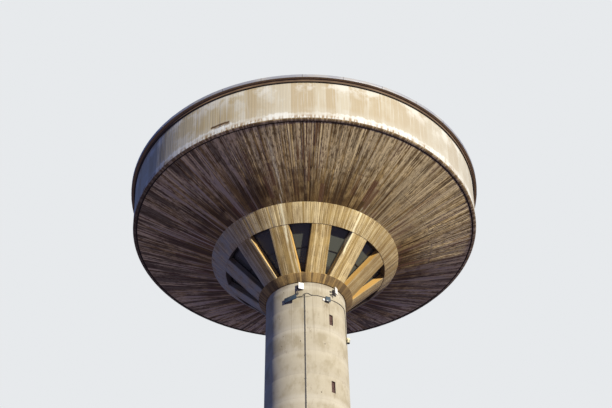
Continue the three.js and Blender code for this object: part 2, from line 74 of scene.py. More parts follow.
# %% [markdown]
# The camera comes first, because every later choice is judged through it. The photograph was
# taken from level ground, 41 m from the axis, looking up by 42 degrees with a slight roll. A
# pinhole camera with the fitted angles gives the same picture, without lens shift or blur.

# %% Camera at the photograph's viewing angle
CAMERA_DISTANCE = 41.0
EYE_HEIGHT = 1.6
PITCH = radians(41.96)
YAW = radians(0.15)
ROLL = radians(-0.94)
SENSOR_WIDTH = 36.0
FOCAL_LENGTH = 52.94
CLIP_END = 600.0

forward = Vector((cos(PITCH) * sin(YAW), cos(PITCH) * cos(YAW), sin(PITCH)))
level_right = Vector((cos(YAW), -sin(YAW), 0))
level_up = level_right.cross(forward)
right = cos(ROLL) * level_right + sin(ROLL) * level_up
up = cos(ROLL) * level_up - sin(ROLL) * level_right
data = bpy.data.cameras.new("ground_camera")
data.sensor_width = SENSOR_WIDTH
data.lens = FOCAL_LENGTH
data.clip_end = CLIP_END
camera = add_object("ground_camera", data)
camera.matrix_world = Matrix.Translation((0, -CAMERA_DISTANCE, EYE_HEIGHT)) @ axes(right, up, -forward)
bpy.context.scene.camera = camera
print("camera", CAMERA_DISTANCE, "m away, looking up", round(degrees(PITCH), 1), "degrees")

# %% [markdown]
# A low evening sun rakes over the tower from the right and shows the boards. One sun lamp with a
# soft edge takes its place. The fill is a plain world colour, cool from above and a little warmer
# from below, where the ground gives light back. The camera sees a pale backdrop instead, which a
# Light Path node keeps apart from the fill. The floor is pale too, but kept out of the bounces:
# a studio floor would light the tank's underside far more than dark ground does.

# %% Key light, fill and floor
KEY_AZIMUTH = radians(37)
KEY_ELEVATION = radians(9.5)
KEY_STRENGTH = 5.9
KEY_COLOR = (1.0, 0.925, 0.765)
KEY_SOFTNESS = radians(2)
FILL_ABOVE = (0.076, 0.155, 0.40, 1)
FILL_BELOW = (0.140, 0.125, 0.228, 1)
BACKDROP_COLOR = (0.80, 0.82, 0.84, 1)
FLOOR_COLOR = (0.74, 0.73, 0.70, 1)
FLOOR_SIZE = 400.0

data = bpy.data.lights.new("key", "SUN")
data.energy = KEY_STRENGTH
data.color = KEY_COLOR
data.angle = KEY_SOFTNESS
flat = cos(KEY_ELEVATION)
towards = Vector((flat * sin(KEY_AZIMUTH), -flat * cos(KEY_AZIMUTH), sin(KEY_ELEVATION)))
add_object("key", data).rotation_euler = towards.to_track_quat("Z", "Y").to_euler()
bpy.context.scene.view_settings.view_transform = "Standard"
print("key light at azimuth", round(degrees(KEY_AZIMUTH)), "strength", KEY_STRENGTH)

# %% [markdown]
# Materials here are long chains of small sums, so a helper keeps them readable. Each call adds a
# node and gives back the socket with its result. What it is given is linked if it is a socket,
# and set as a plain value if it is a number.

# %% A helper for wiring nodes
NODE_SPACING = 200


class Net:
    """Adds nodes to one tree. Each call gives back the socket that carries its result."""

    def __init__(self, tree):
        self.tree = tree
        self.count = 0

    def node(self, kind, inputs=(), **settings):
        made = self.tree.nodes.new(kind)
        made.location = (NODE_SPACING * (self.count % 12), -NODE_SPACING * (self.count // 12))
        self.count += 1
        for name, value in settings.items():
            setattr(made, name, value)
        for name, value in dict(inputs).items():
            self.feed(made.inputs[name], value)
        return made

    def feed(self, socket, value):
        if isinstance(value, bpy.types.NodeSocket):
            self.tree.links.new(value, socket)
        else:
            socket.default_value = value

    def math(self, operation, *values, clamp=False):
        inputs = enumerate(values)
        return self.node("ShaderNodeMath", inputs, operation=operation, use_clamp=clamp).outputs[0]

    def times(self, first, *others):
        for other in others:
            first = self.math("MULTIPLY", first, other)
        return first

    def plus(self, *values, clamp=False):
        return self.math("ADD", *values, clamp=clamp)

    def minus(self, *values):
        return self.math("SUBTRACT", *values)

    def vector(self, operation, *values, out="Vector"):
        inputs = enumerate(values)
        return self.node("ShaderNodeVectorMath", inputs, operation=operation).outputs[out]

    def combine(self, x, y, z):
        return self.node("ShaderNodeCombineXYZ", {"X": x, "Y": y, "Z": z}).outputs[0]

    def noise(self, vector, scale=1.0, detail=2.0, roughness=0.5):
        inputs = {"Vector": vector, "Scale": scale, "Detail": detail, "Roughness": roughness}
        return self.node("ShaderNodeTexNoise", inputs).outputs["Fac"]

    def white(self, vector):
        return self.node("ShaderNodeTexWhiteNoise", {"Vector": vector}).outputs["Value"]

    def smooth(self, value, start, end, low=0.0, high=1.0):
        """Low below start and high above end, with a smooth change between them."""
        inputs = {"Value": value, "From Min": start, "From Max": end, "To Min": low, "To Max": high}
        return self.node("ShaderNodeMapRange", inputs, interpolation_type="SMOOTHSTEP").outputs[0]

    def spread(self, value, low, high):
        """A value from 0 to 1 spread evenly from low to high."""
        inputs = {"Value": value, "To Min": low, "To Max": high}
        return self.node("ShaderNodeMapRange", inputs).outputs[0]

    def mix(self, factor, first, second):
        inputs = {0: factor, 6: first, 7: second}
        return self.node("ShaderNodeMix", inputs, data_type="RGBA").outputs[2]

    def over(self, color, tint, mask, share):
        """A tint laid over a colour: at most that share of it, and only where the mask is up."""
        return self.mix(self.times(mask, share), color, tint)

    def group(self, tree, **inputs):
        made = self.node("ShaderNodeGroup", node_tree=tree)
        for name, value in inputs.items():
            self.feed(made.inputs[name.replace("_", " ")], value)
        return made.outputs

    def bump(self, height, distance, strength):
        inputs = {"Height": height, "Distance": distance, "Strength": strength}
        return self.node("ShaderNodeBump", inputs).outputs[0]


def rgb(red, green, blue):
    return (red, green, blue, 1.0)


print("node helper ready")

# %% World fill and floor
world = bpy.data.worlds.new("studio")
world.use_nodes = True
world.node_tree.nodes.clear()
net = Net(world.node_tree)
direction = net.node("ShaderNodeTexCoord").outputs["Generated"]
height = net.node("ShaderNodeSeparateXYZ", {0: direction}).outputs["Z"]
fill = net.mix(net.smooth(height, -0.3, 0.3), FILL_BELOW, FILL_ABOVE)
seen = net.node("ShaderNodeLightPath").outputs["Is Camera Ray"]
fill_light = net.node("ShaderNodeBackground", {"Color": fill})
backdrop = net.node("ShaderNodeBackground", {"Color": BACKDROP_COLOR})
inputs = {0: seen, 1: fill_light.outputs[0], 2: backdrop.outputs[0]}
chosen = net.node("ShaderNodeMixShader", inputs)
net.node("ShaderNodeOutputWorld", {"Surface": chosen.outputs[0]})
bpy.context.scene.world = world

half = FLOOR_SIZE / 2
mesh = bpy.data.meshes.new("floor")
mesh.from_pydata([(-half, -half, 0), (half, -half, 0), (half, half, 0), (-half, half, 0)], [], [(0, 1, 2, 3)])
paper = bpy.data.materials.new("floor_paper")
paper.use_nodes = True
paper.node_tree.nodes["Principled BSDF"].inputs["Base Color"].default_value = FLOOR_COLOR
mesh.materials.append(paper)
ground = add_object("floor", mesh)
ground.visible_diffuse = False
ground.visible_glossy = False
print("backdrop and floor in place")

# %% [markdown]
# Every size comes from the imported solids. The points of a turned solid take only a few different
# radii and heights, and those are the corners of its section. The collar and the ring beam give
# the two ends of the neck's straight slope, and so any point on the slope or square behind it.

# %% Measure the solids
SAME_CORNER = 0.002


def cad_points(node, place=Matrix()):
    """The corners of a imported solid, as rows of X, Y and Z in the given place's directions."""
    back = place.inverted()
    return np.array([back @ vertex.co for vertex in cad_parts[node].data.vertices])


def section_points(node):
    """The different (radius, height) corners of a turned solid, lowest first."""
    points = cad_points(node)
    pairs = np.stack([points[:, 2], np.hypot(points[:, 0], points[:, 1])], axis=1)
    unique = np.unique(pairs.round(4), axis=0)
    return [(radius, height) for height, radius in unique.tolist()]


def lowest_rim(node):
    """The widest corner at a turned solid's lowest height."""
    points = section_points(node)
    return max(point for point in points if point[1] < points[0][1] + SAME_CORNER)


def widest(node):
    return max(section_points(node))


shaft_radius = widest("shaft_wall_2")[0]
shaft_bore = min(section_points("shaft_wall_2"))[0]
shaft_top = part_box("shaft_wall_2")[1].z
neck_foot = Vector(lowest_rim("collar"))
ring_outside = [p for p in section_points("ring_beam") if p[0] > widest("ring_beam")[0] - SAME_CORNER]
neck_head = Vector(ring_outside[0])
neck_slope = (neck_head - neck_foot).normalized()
collar_radius = widest("collar")[0]
ring_low_radius = lowest_rim("ring_beam")[0]
print("shaft", shaft_radius, "bore", shaft_bore, "top", round(shaft_top, 3))
print("neck from", neck_foot[:], "to", neck_head[:], "collar", collar_radius, "ring", ring_low_radius)

# %% Points on the neck
def on_neck(surface_radius, depth=0.0):
    """The section point square behind the neck's face, where the face has the given radius."""
    along = (surface_radius - neck_foot.x) / neck_slope.x
    face = neck_foot + along * neck_slope
    return Vector((face.x - depth * neck_slope.y, face.y + depth * neck_slope.x))


def polar(radius, azimuth, height):
    """Azimuth 0 faces the camera and grows towards +X, in radians."""
    return Vector((radius * sin(azimuth), -radius * cos(azimuth), height))


print("neck slope", round(degrees(atan2(neck_slope.y, neck_slope.x)), 1), "degrees")

# %% [markdown]
# Most pieces are turned: a section swept round the axis. The CAD solids use 72 flat sides, which
# would show as corners on a rim 20 m across, so the dressed pieces use several hundred. Relief
# is a table with a row for each azimuth and a column for each corner of the section, and moves
# the corner square to the outline. So every board gets its step and every joint its groove.

# %% Turned meshes
SMOOTH_LIMIT = radians(32)
ROUND_STEPS = 3


def softened(outline, sizes, steps=ROUND_STEPS):
    """Rounds the corners of a closed outline. Sizes gives each corner's radius, or 0 to keep it."""
    corners = [Vector(point) for point in outline]
    result = []
    for i, corner in enumerate(corners):
        if sizes[i] == 0:
            result.append(corner)
            continue
        before = (corners[i - 1] - corner).normalized()
        after = (corners[(i + 1) % len(corners)] - corner).normalized()
        half = before.angle(after) / 2
        centre = corner + (before + after).normalized() * (sizes[i] / sin(half))
        first = corner + before * (sizes[i] / tan(half)) - centre
        last = corner + after * (sizes[i] / tan(half)) - centre
        result += [centre + first.slerp(last, k / steps) * sizes[i] for k in range(steps + 1)]
    return result


def outward_normals(section):
    """The outward direction at each corner of a closed section that runs anticlockwise."""
    ahead = np.roll(section, -1, axis=0) - section
    ahead /= np.linalg.norm(ahead, axis=1, keepdims=True)
    sides = np.stack([ahead[:, 1], -ahead[:, 0]], axis=1)
    normals = sides + np.roll(sides, 1, axis=0)
    return normals / np.linalg.norm(normals, axis=1, keepdims=True)


def anticlockwise(outline):
    points = np.array([tuple(point) for point in outline], float)
    after = np.roll(points, -1, axis=0)
    area = np.sum(points[:, 0] * after[:, 1] - after[:, 0] * points[:, 1])
    if area < 0:
        raise ValueError("the section runs clockwise")
    return points


def turned(outline, azimuths, relief=0.0):
    """Vertices and faces of a section turned round the axis at the given azimuths."""
    section = anticlockwise(outline)
    normals = outward_normals(section)
    turns = np.asarray(azimuths)[:, None]
    lift = np.broadcast_to(relief, (len(turns), len(section)))
    radius = section[None, :, 0] + lift * normals[None, :, 0]
    height = section[None, :, 1] + lift * normals[None, :, 1]
    vertices = np.stack([radius * np.sin(turns), -radius * np.cos(turns), height], axis=2)
    return vertices.reshape(-1, 3), grid_faces(len(turns), len(section))


def grid_faces(rows, columns, closed_rows=True):
    """Quads between neighbouring rows of points. The columns always close on themselves."""
    row = np.arange(rows if closed_rows else rows - 1)[:, None]
    column = np.arange(columns)[None, :]
    next_row = (row + 1) % rows
    next_column = (column + 1) % columns
    corners = [
        row * columns + column,
        next_row * columns + column,
        next_row * columns + next_column,
        row * columns + next_column,
    ]
    return np.stack(corners, axis=2).reshape(-1, 4).tolist()


def even_turns(count):
    return np.arange(count) * (2 * pi / count)


print("turning helpers ready")

# %% [markdown]
# Every finished piece is handed over the same way: its normals face out, round faces are smoothed
# and flat ones stay flat, it rides on the tower's one body, and it hides the plain solids that it
# replaces.

# %% Hand a mesh over as a piece
WELD = 0.0005


def hand_over(mesh, materials, nodes=()):
    """Makes a piece of the tower from a mesh, under the mesh's own name."""
    for material in materials:
        mesh.materials.append(material)
    piece = add_object(mesh.name, mesh)
    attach(piece, "root")
    if nodes:
        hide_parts(*nodes)
    print(mesh.name, sum(len(face.vertices) - 2 for face in mesh.polygons), "triangles")


def finish_mesh(work, mesh):
    """Faces out, and smooth except across sharp edges."""
    bmesh.ops.recalc_face_normals(work, faces=work.faces)
    for face in work.faces:
        face.smooth = True
    work.to_mesh(mesh)
    work.free()
    mesh.set_sharp_from_angle(angle=SMOOTH_LIMIT)


def closed_mesh(name, vertices, faces, weld=False):
    mesh = bpy.data.meshes.new(name)
    mesh.from_pydata(np.asarray(vertices).tolist(), [], faces)
    work = bmesh.new()
    work.from_mesh(mesh)
    if weld:
        bmesh.ops.remove_doubles(work, verts=work.verts, dist=WELD)
    finish_mesh(work, mesh)
    return mesh


def turned_piece(name, outline, azimuths, material, node, relief=0.0, weld=False):
    """A section turned round the axis and handed over in one step."""
    hand_over(closed_mesh(name, *turned(outline, azimuths, relief), weld), [material], [node])


# %% [markdown]
# Small fittings are built from boxes and rods with rounded edges. They are easiest to place in
# the wall's own directions: X to the right along the wall, Y in towards the axis, and Z up. A
# matrix carries each one from there to its azimuth, and one collector joins them.

# %% Boxes and rods for small fittings
EDGE_STEPS = 2
ROD_SIDES = 16
UP = Vector((0, 0, 1))


def wall_frame(azimuth, radius=0.0, height=0.0):
    """The wall's own directions at an azimuth, with the origin at a radius and a height."""
    along = Vector((cos(azimuth), sin(azimuth), 0))
    inwards = Vector((-sin(azimuth), cos(azimuth), 0))
    return Matrix.Translation(polar(radius, azimuth, height)) @ axes(along, inwards, UP)


class Fitting:
    """Collects boxes and rods in one mesh, each with its own material index."""

    def __init__(self, place=Matrix()):
        self.work = bmesh.new()
        self.place = place

    def take(self, part, turn, edge, material):
        if edge:
            sharp = [e for e in part.edges if len(e.link_faces) == 2 and e.calc_face_angle() > SMOOTH_LIMIT]
            bmesh.ops.bevel(part, geom=sharp, offset=edge, segments=EDGE_STEPS, affect="EDGES", profile=0.5)
        for face in part.faces:
            face.material_index = material
        part.transform(self.place @ turn)
        holder = bpy.data.meshes.new("holder")
        part.to_mesh(holder)
        part.free()
        self.work.from_mesh(holder)
        bpy.data.meshes.remove(holder)

    def box(self, low, high, edge=0.004, material=0, turn=Matrix()):
        """A box between two corners."""
        part = bmesh.new()
        low, high = Vector(low), Vector(high)
        scale = Matrix.Diagonal((*(high - low), 1))
        bmesh.ops.create_cube(part, size=1, matrix=Matrix.Translation((low + high) / 2) @ scale)
        self.take(part, turn, edge, material)

    def rod(self, start, end, radius, material=0, edge=0.0, sides=ROD_SIDES, end_radius=None, turn=Matrix()):
        """A round bar, or a cone where its two ends differ."""
        part = bmesh.new()
        start, end = Vector(start), Vector(end)
        lie = (end - start).to_track_quat("Z", "Y").to_matrix().to_4x4()
        middle = Matrix.Translation((start + end) / 2) @ lie
        bmesh.ops.create_cone(
            part,
            cap_ends=True,
            segments=sides,
            radius1=radius,
            radius2=radius if end_radius is None else end_radius,
            depth=(end - start).length,
            matrix=middle,
        )
        self.take(part, turn, edge, material)

    def bent_rod(self, points, radius, material=0, sides=8):
        """A round bar along a smooth route of points."""
        part = bmesh.new()
        rings = []
        for i, point in enumerate(points):
            ahead = (points[min(i + 1, len(points) - 1)] - points[max(i - 1, 0)]).normalized()
            side = ahead.cross(UP)
            if side.length < 0.05:
                side = ahead.cross(Vector((0, 1, 0)))
            side.normalize()
            other = side.cross(ahead)
            turns = [2 * pi * k / sides for k in range(sides)]
            ring = [point + radius * (cos(t) * side + sin(t) * other) for t in turns]
            rings.append([part.verts.new(p) for p in ring])
        for low, high in zip(rings, rings[1:]):
            for k in range(sides):
                part.faces.new((low[k], low[(k + 1) % sides], high[(k + 1) % sides], high[k]))
        part.faces.new(rings[0])
        part.faces.new(rings[-1])
        self.take(part, Matrix(), 0, material)

    def hand_over(self, name, materials, slot, nodes=()):
        mesh = bpy.data.meshes.new(name)
        finish_mesh(self.work, mesh)
        hand_over(mesh, materials, nodes)


print("fitting helpers ready")

# %% [markdown]
# Each shader group is one effect that several materials share. The first turns a position into
# what a round building needs: the direction out from the axis, which has no seam, the azimuth in
# degrees, the radius, the height, and the depth behind the neck's slope.

# %% Group: place on the tower
ORIGIN = (0.0, 0.0, 0.0)


def new_socket(net, label, in_out, is_vector):
    kind = "NodeSocketVector" if is_vector else "NodeSocketFloat"
    return net.tree.interface.new_socket(name=label, in_out=in_out, socket_type=kind)


def new_group(name, inputs):
    """An empty node group with named inputs and their defaults, and the wiring to fill it with."""
    net = Net(bpy.data.node_groups.new(name, "ShaderNodeTree"))
    for label, default in inputs.items():
        new_socket(net, label, "INPUT", default == ORIGIN).default_value = default
    return net, net.node("NodeGroupInput").outputs


def close_group(net, results):
    """Puts the named results out of the group."""
    for label, value in results.items():
        new_socket(net, label, "OUTPUT", value.type == "VECTOR")
    net.node("NodeGroupOutput", results)
    print("group", net.tree.name, "puts out", ", ".join(results))
    return net.tree


net, given = new_group("place_on_tower", {"Position": ORIGIN})
split = net.node("ShaderNodeSeparateXYZ", {0: given["Position"]}).outputs
flat = net.combine(split["X"], split["Y"], 0.0)
radius = net.vector("LENGTH", flat, out="Value")
facing = net.math("ARCTAN2", split["X"], net.times(split["Y"], -1.0))
rise = net.times(net.minus(split["Z"], neck_foot.y), neck_slope.x)
run = net.times(net.minus(radius, neck_foot.x), neck_slope.y)
place_group = close_group(net, {
    "Direction": net.vector("NORMALIZE", flat),
    "Azimuth": net.math("DEGREES", facing),
    "Radius": radius,
    "Height": split["Z"],
    "Depth": net.minus(rise, run),
})

# %% [markdown]
# Form boards print three things into concrete: each board's own tone, since each piece of timber
# drinks a different amount of water, the joints that let fine mortar through, and the grain. A
# white noise value per board number gives the tone, the distance to the nearest board edge gives
# the joint, and noise stretched along the board gives the grain.

# %% Group: form boards
inputs = {"Across": 0.0, "Along": 0.0, "Board Width": 0.12, "Joint Width": 0.012, "Seed": 0.0}
net, given = new_group("form_boards", inputs)
place = net.math("DIVIDE", given["Across"], given["Board Width"])
number = net.math("FLOOR", place)
part = net.minus(place, number)
edge = net.math("MINIMUM", part, net.minus(1.0, part))
edge = net.times(edge, given["Board Width"])
length_noise = net.noise(net.combine(net.times(number, 5.3), given["Along"], given["Seed"]), 0.45)
tone = net.white(net.combine(number, given["Seed"], 0.0))
grain_place = net.combine(
    net.times(place, 5.0),
    net.times(given["Along"], 0.9),
    net.plus(given["Seed"], net.times(number, 1.7)),
)
boards_group = close_group(net, {
    "Tone": net.plus(net.times(tone, 0.7), net.times(length_noise, 0.3)),
    "Joint": net.smooth(edge, 0.0, given["Joint Width"], 1.0, 0.0),
    "Grain": net.noise(grain_place, 1.6, 4.0, 0.6),
})

# %% [markdown]
# Rain carries lime and dirt over the surface in thin runs that follow the water. On this tower
# that is along a radius or straight down the wall. Noise in the seam-free direction gives runs
# that stay in line, a second noise gives each its own length, and the threshold says how much of
# the surface they cover.

# %% Group: weather runs
inputs = {
    "Direction": ORIGIN, "Fall": 0.0, "Fineness": 60.0, "Threshold": 0.55, "Softness": 0.05,
    "Reach": 2.0, "Seed": 0.0,
}
net, given = new_group("weather_runs", inputs)
place = net.vector("SCALE", given["Direction"])
net.feed(place.node.inputs["Scale"], given["Fineness"])
drift = net.plus(given["Seed"], net.times(given["Fall"], 0.22))
streak = net.noise(net.vector("ADD", place, net.combine(0.0, 0.0, drift)), 1.0, 3.0, 0.55)
high = net.plus(given["Threshold"], given["Softness"])
low = net.minus(given["Threshold"], given["Softness"])
covered = net.smooth(streak, low, high)
other = net.vector("ADD", place, net.combine(17.0, 5.0, given["Seed"]))
length = net.times(net.spread(net.noise(other, 0.6, 2.0), -0.6, 2.4), given["Reach"])
faded = net.smooth(given["Fall"], net.times(length, 0.55), length, 1.0, 0.0)
runs_group = close_group(net, {"Mask": net.times(covered, faded), "Streak": streak})

# %% [markdown]
# Two leaks have left white lime runs from the tank's underside over the ring and down a rib. Each
# is a narrow band round a centre line. Outside the ring the line steps sideways, because the
# water met an edge there, and the band is thinner. Noise frays its edges.

# %% Group: one lime run
RUN_STEP_LENGTH = 0.8
RUN_THIN_SHARE = 0.5

inputs = {
    "Azimuth": 0.0, "Radius": 1.0, "Centre": 0.0, "Shift": 0.0, "Shift Radius": 1.5,
    "Start Radius": 1.0, "End Radius": 2.0, "Half Width": 0.08,
}
net, given = new_group("lime_run", inputs)
travel = net.minus(given["Radius"], given["Start Radius"])
past_ring = net.smooth(net.minus(given["Radius"], given["Shift Radius"]), 0.0, RUN_STEP_LENGTH)
centre = net.plus(given["Centre"], net.times(past_ring, given["Shift"]))
turn = net.math("RADIANS", net.minus(given["Azimuth"], centre))
offset = net.times(turn, given["Radius"])
wander = net.noise(net.combine(given["Radius"], given["Centre"], 0.0), 2.2, 3.0, 0.6)
offset = net.plus(offset, net.spread(wander, -0.07, 0.07))
fray_place = net.combine(net.times(offset, 9.0), given["Radius"], given["Centre"])
fray = net.noise(fray_place, 3.0, 4.0, 0.7)
thinner = net.spread(past_ring, 1.0, RUN_THIN_SHARE)
width = net.times(given["Half Width"], net.times(net.spread(fray, 0.2, 1.8), thinner))
near = net.smooth(net.math("ABSOLUTE", offset), net.times(width, 0.4), width, 1.0, 0.0)
begun = net.smooth(travel, 0.0, 0.25)
ended = net.smooth(net.minus(given["End Radius"], given["Radius"]), 0.0, 0.5)
lime_run_group = close_group(net, {"Mask": net.times(near, begun, ended)})

# %% [markdown]
# Bare concrete has cloudy patches, sand grains and small pits where air stayed against the
# boards. One group gives all three, and every surface takes them at its own strength.

# %% Group: concrete skin
net, given = new_group("concrete_skin", {"Position": ORIGIN, "Cloud Size": 1.0, "Seed": 0.0})
place = net.vector("ADD", given["Position"], net.combine(given["Seed"], 0.0, 0.0))
size = net.math("DIVIDE", 1.0, given["Cloud Size"])
cells = net.node("ShaderNodeTexVoronoi", {"Vector": place, "Scale": 14.0, "Randomness": 1.0})
skin_group = close_group(net, {
    "Cloud": net.noise(place, size, 5.0, 0.6),
    "Sand": net.noise(place, 90.0, 3.0, 0.7),
    "Pits": net.smooth(cells.outputs["Distance"], 0.05, 0.16, 1.0, 0.0),
})

# %% [markdown]
# A material starts from a Principled shader, with the values that stay the same all over set on
# its own sockets. Diffuse roughness is one of them: rough concrete looks flatter than smooth
# paint, because it also sends light back at grazing angles. What changes is wired in afterwards.

# %% Start a material
BOARDED = {"Roughness": 0.82, "Diffuse_Roughness": 0.4}


class Finish(Net):
    """A new material with one Principled shader, and its wiring."""

    def __init__(self, name, **plain):
        self.material = bpy.data.materials.new(name)
        self.material.use_nodes = True
        self.material.node_tree.nodes.clear()
        super().__init__(self.material.node_tree)
        shader = self.node("ShaderNodeBsdfPrincipled")
        self.node("ShaderNodeOutputMaterial", {"Surface": shader.outputs[0]})
        self.surface = shader.inputs
        for label, value in plain.items():
            self.surface[label.replace("_", " ")].default_value = value
        self.position = self.node("ShaderNodeTexCoord").outputs["Object"]

    def locate(self):
        """The surface's place on the tower, kept for the helpers below too."""
        self.place = self.group(place_group, Position=self.position)
        return self.place

    def skin(self, cloud_size, seed):
        return self.group(skin_group, Position=self.position, Cloud_Size=cloud_size, Seed=seed)

    def coat(self, color, height, distance, strength):
        """Feeds a colour to the shader, and a height as a bump."""
        self.feed(self.surface["Base Color"], color)
        self.feed(self.surface["Normal"], self.bump(height, distance, strength))


print("a finish starts from one Principled shader and takes", place_group.name, "and", skin_group.name)

# %% [markdown]
# The tank's underside is the largest surface in the picture. It was cast on radial boards and
# painted brown. Where panels of boards meet, water creeps round the drip groove and draws a cream
# streak inwards, stronger at some joints than at others. Lime leaves hundreds of hairlines along
# the grain. The paint has washed thin panel by panel, and elsewhere it is still thick and
# red-brown. One stretch on the sun's side is painted pale cream, a painted highlight. The far side,
# away from the sun, carries painted shade: dark wedges along the streaks, and grey lime streaks
# between them whose grey tint is painted shade too. A sprinkle of fine noise breaks all of it up.
# The whites are mixed warm, since the light that reaches an underside is blue.

# %% Material: underside
UNDERSIDE_DARK = rgb(0.128, 0.072, 0.025)
UNDERSIDE_BROWN = rgb(0.380, 0.242, 0.086)
UNDERSIDE_WASHED = rgb(0.760, 0.550, 0.228)
UNDERSIDE_CREAM = rgb(0.98, 0.82, 0.48)
UNDERSIDE_SHADE_LIME = rgb(0.650, 0.550, 0.405)
UNDERSIDE_RED = rgb(0.260, 0.135, 0.070)
UNDERSIDE_SHADE_SOOT = rgb(0.135, 0.092, 0.054)
UNDERSIDE_BOARDS = 420
UNDERSIDE_PANELS = 140
LIME_WHITE = rgb(0.98, 0.91, 0.62)
LEFT_RUN = {"Centre": -13.7, "Shift": 2.2, "Shift_Radius": 5.4, "Start_Radius": 3.7, "End_Radius": 9.2}
RIGHT_RUN = {"Centre": 35.0, "Shift": 0.7, "Shift_Radius": 5.4, "Start_Radius": 3.5, "End_Radius": 7.1}
RUN_HALF_WIDTH = 0.075
RUN_SPRAY = 2.4
SUN_POOL_AZIMUTH = 54.0
SPECULAR_LEVEL = 0.25
FILM_SHARE = 0.75
SUNNY_SIDE = tuple(polar(1.0, KEY_AZIMUTH, 0.0))
tank_rim_radius = widest("tank_bottom")[0]


def board_number(net, count):
    """The azimuth as a board number, with that many boards in the full turn."""
    return net.times(net.place["Azimuth"], count / 360)


def boards_round(net, count, along, joint, seed):
    """Form boards side by side round the tower, with that many in the full turn."""
    across = board_number(net, count)
    return net.group(boards_group, Across=across, Along=along, Board_Width=1.0, Joint_Width=joint, Seed=seed)


def runs_along(net, fall, fineness, seed, threshold=0.55, reach=2.0, softness=0.04):
    """Weather runs that follow a fall, which is a length down the surface from where they start."""
    return net.group(
        runs_group, Direction=net.place["Direction"], Fall=fall, Fineness=fineness,
        Threshold=threshold, Softness=softness, Reach=reach, Seed=seed,
    )


def towards_sun(net, direction):
    """1 where a direction points at the sun's side of the tower, and -1 on the far side."""
    return net.vector("DOT_PRODUCT", direction, SUNNY_SIDE, out="Value")


def lime_runs(net, half_width):
    """Both long lime runs in one mask."""
    where = {"Azimuth": net.place["Azimuth"], "Radius": net.place["Radius"], "Half_Width": half_width}
    masks = [net.group(lime_run_group, **where, **run)["Mask"] for run in (LEFT_RUN, RIGHT_RUN)]
    return net.math("MAXIMUM", *masks)


def joint_streaks(net, from_rim):
    """Cream streaks that start at the rim on the joints between panels, each with its own strength."""
    sway = net.noise(net.vector("MULTIPLY", net.place["Direction"], (14.0, 14.0, 0.0)), 1.0, 2.0)
    number = net.plus(board_number(net, UNDERSIDE_PANELS), net.times(sway, 1.6))
    joint = net.math("ROUND", number)
    away = net.math("ABSOLUTE", net.minus(number, joint))
    own = net.white(net.combine(joint, 2.0, 0.0))
    other = net.white(net.combine(joint, 9.0, 0.0))
    width = net.spread(other, 0.10, 0.28)
    line = net.smooth(away, width, net.times(width, 0.4))
    reach = net.spread(own, 0.4, 3.6)
    faded = net.smooth(from_rim, net.times(reach, 0.4), reach, 1.0, 0.0)
    strength = net.smooth(own, 0.0, 0.35, 0.35, 1.0)
    return net.times(line, faded, strength)


def film_patches(net, from_rim):
    """Washed paint by the panel: mostly between the rim and the ring, ending at odd lengths."""
    number = net.math("FLOOR", board_number(net, UNDERSIDE_PANELS))
    own = net.white(net.combine(number, 5.0, 0.0))
    length = net.spread(own, 2.2, 5.6)
    inner_end = net.smooth(from_rim, length, net.minus(length, 0.9))
    outer_end = net.smooth(from_rim, 0.0, 1.1, 0.3, 1.0)
    patchy = net.noise(net.combine(net.times(number, 5.3), from_rim, 3.0), 1.3, 2.0)
    film = net.smooth(patchy, 0.38, 0.60)
    return net.times(film, net.times(inner_end, outer_end))


def panel_stains(net, from_rim):
    """Lengths of single panels where the paint is still thick and red-brown."""
    number = net.math("FLOOR", board_number(net, UNDERSIDE_PANELS))
    own = net.white(net.combine(number, 15.0, 0.0))
    cell = net.math("FLOOR", net.plus(net.math("DIVIDE", from_rim, 1.3), own))
    return net.smooth(net.white(net.combine(number, cell, 6.0)), 0.76, 0.82)


net = Finish(
    "underside_concrete", Roughness=0.86, Diffuse_Roughness=1.0, Specular_IOR_Level=SPECULAR_LEVEL,
)
place = net.locate()
from_rim = net.minus(tank_rim_radius, place["Radius"])
boards = boards_round(net, UNDERSIDE_BOARDS, place["Radius"], joint=0.10, seed=3.0)
skin = net.skin(1.1, 2.0)
number = board_number(net, UNDERSIDE_BOARDS)
fleck_place = net.combine(net.times(number, 1.4), net.times(from_rim, 3.2), 9.0)
sprinkle = net.noise(fleck_place, 1.0, 3.0, 0.65)
hair = runs_along(net, from_rim, fineness=150.0, seed=12.0, threshold=0.52, reach=4.4)
fine = runs_along(net, from_rim, fineness=62.0, seed=1.0, threshold=0.52, reach=4.2)
broad = runs_along(net, from_rim, fineness=26.0, seed=33.0)
tone = net.plus(net.times(boards["Tone"], 0.5), skin["Cloud"])
paint = net.mix(net.smooth(tone, 0.55, 0.98), UNDERSIDE_DARK, UNDERSIDE_BROWN)
mottled = net.smooth(sprinkle, 0.40, 0.56, 0.3, 1.0)
washed = net.times(film_patches(net, from_rim), mottled)
off_sun = net.math("ABSOLUTE", net.minus(place["Azimuth"], SUN_POOL_AZIMUTH))
paint = net.over(paint, UNDERSIDE_WASHED, washed, FILM_SHARE)
paint = net.over(paint, UNDERSIDE_RED, panel_stains(net, from_rim), FILM_SHARE)
# Painted highlight: pale cream over a stretch of the underside on the sun's side.
sun_pool = net.times(net.smooth(off_sun, 24.0, 6.0), net.smooth(from_rim, 0.2, 2.0, 0.15, 0.6))
sun_pool = net.times(sun_pool, net.smooth(fine["Streak"], 0.38, 0.56))
paint = net.mix(sun_pool, paint, UNDERSIDE_CREAM)
hairlines = net.math("MAXIMUM", net.times(hair["Mask"], 0.7), fine["Mask"])
outer = net.smooth(place["Radius"], 5.5, 7.4, 0.25, 1.0)
pale = net.times(hairlines, outer, mottled)
pale = net.math("MAXIMUM", pale, joint_streaks(net, from_rim))
color = net.mix(pale, paint, UNDERSIDE_CREAM)
pocks = net.smooth(sprinkle, 0.42, 0.32, 0.0, 0.5)
color = net.mix(pocks, color, UNDERSIDE_DARK)
color = net.over(color, UNDERSIDE_DARK, boards["Joint"], 0.6)
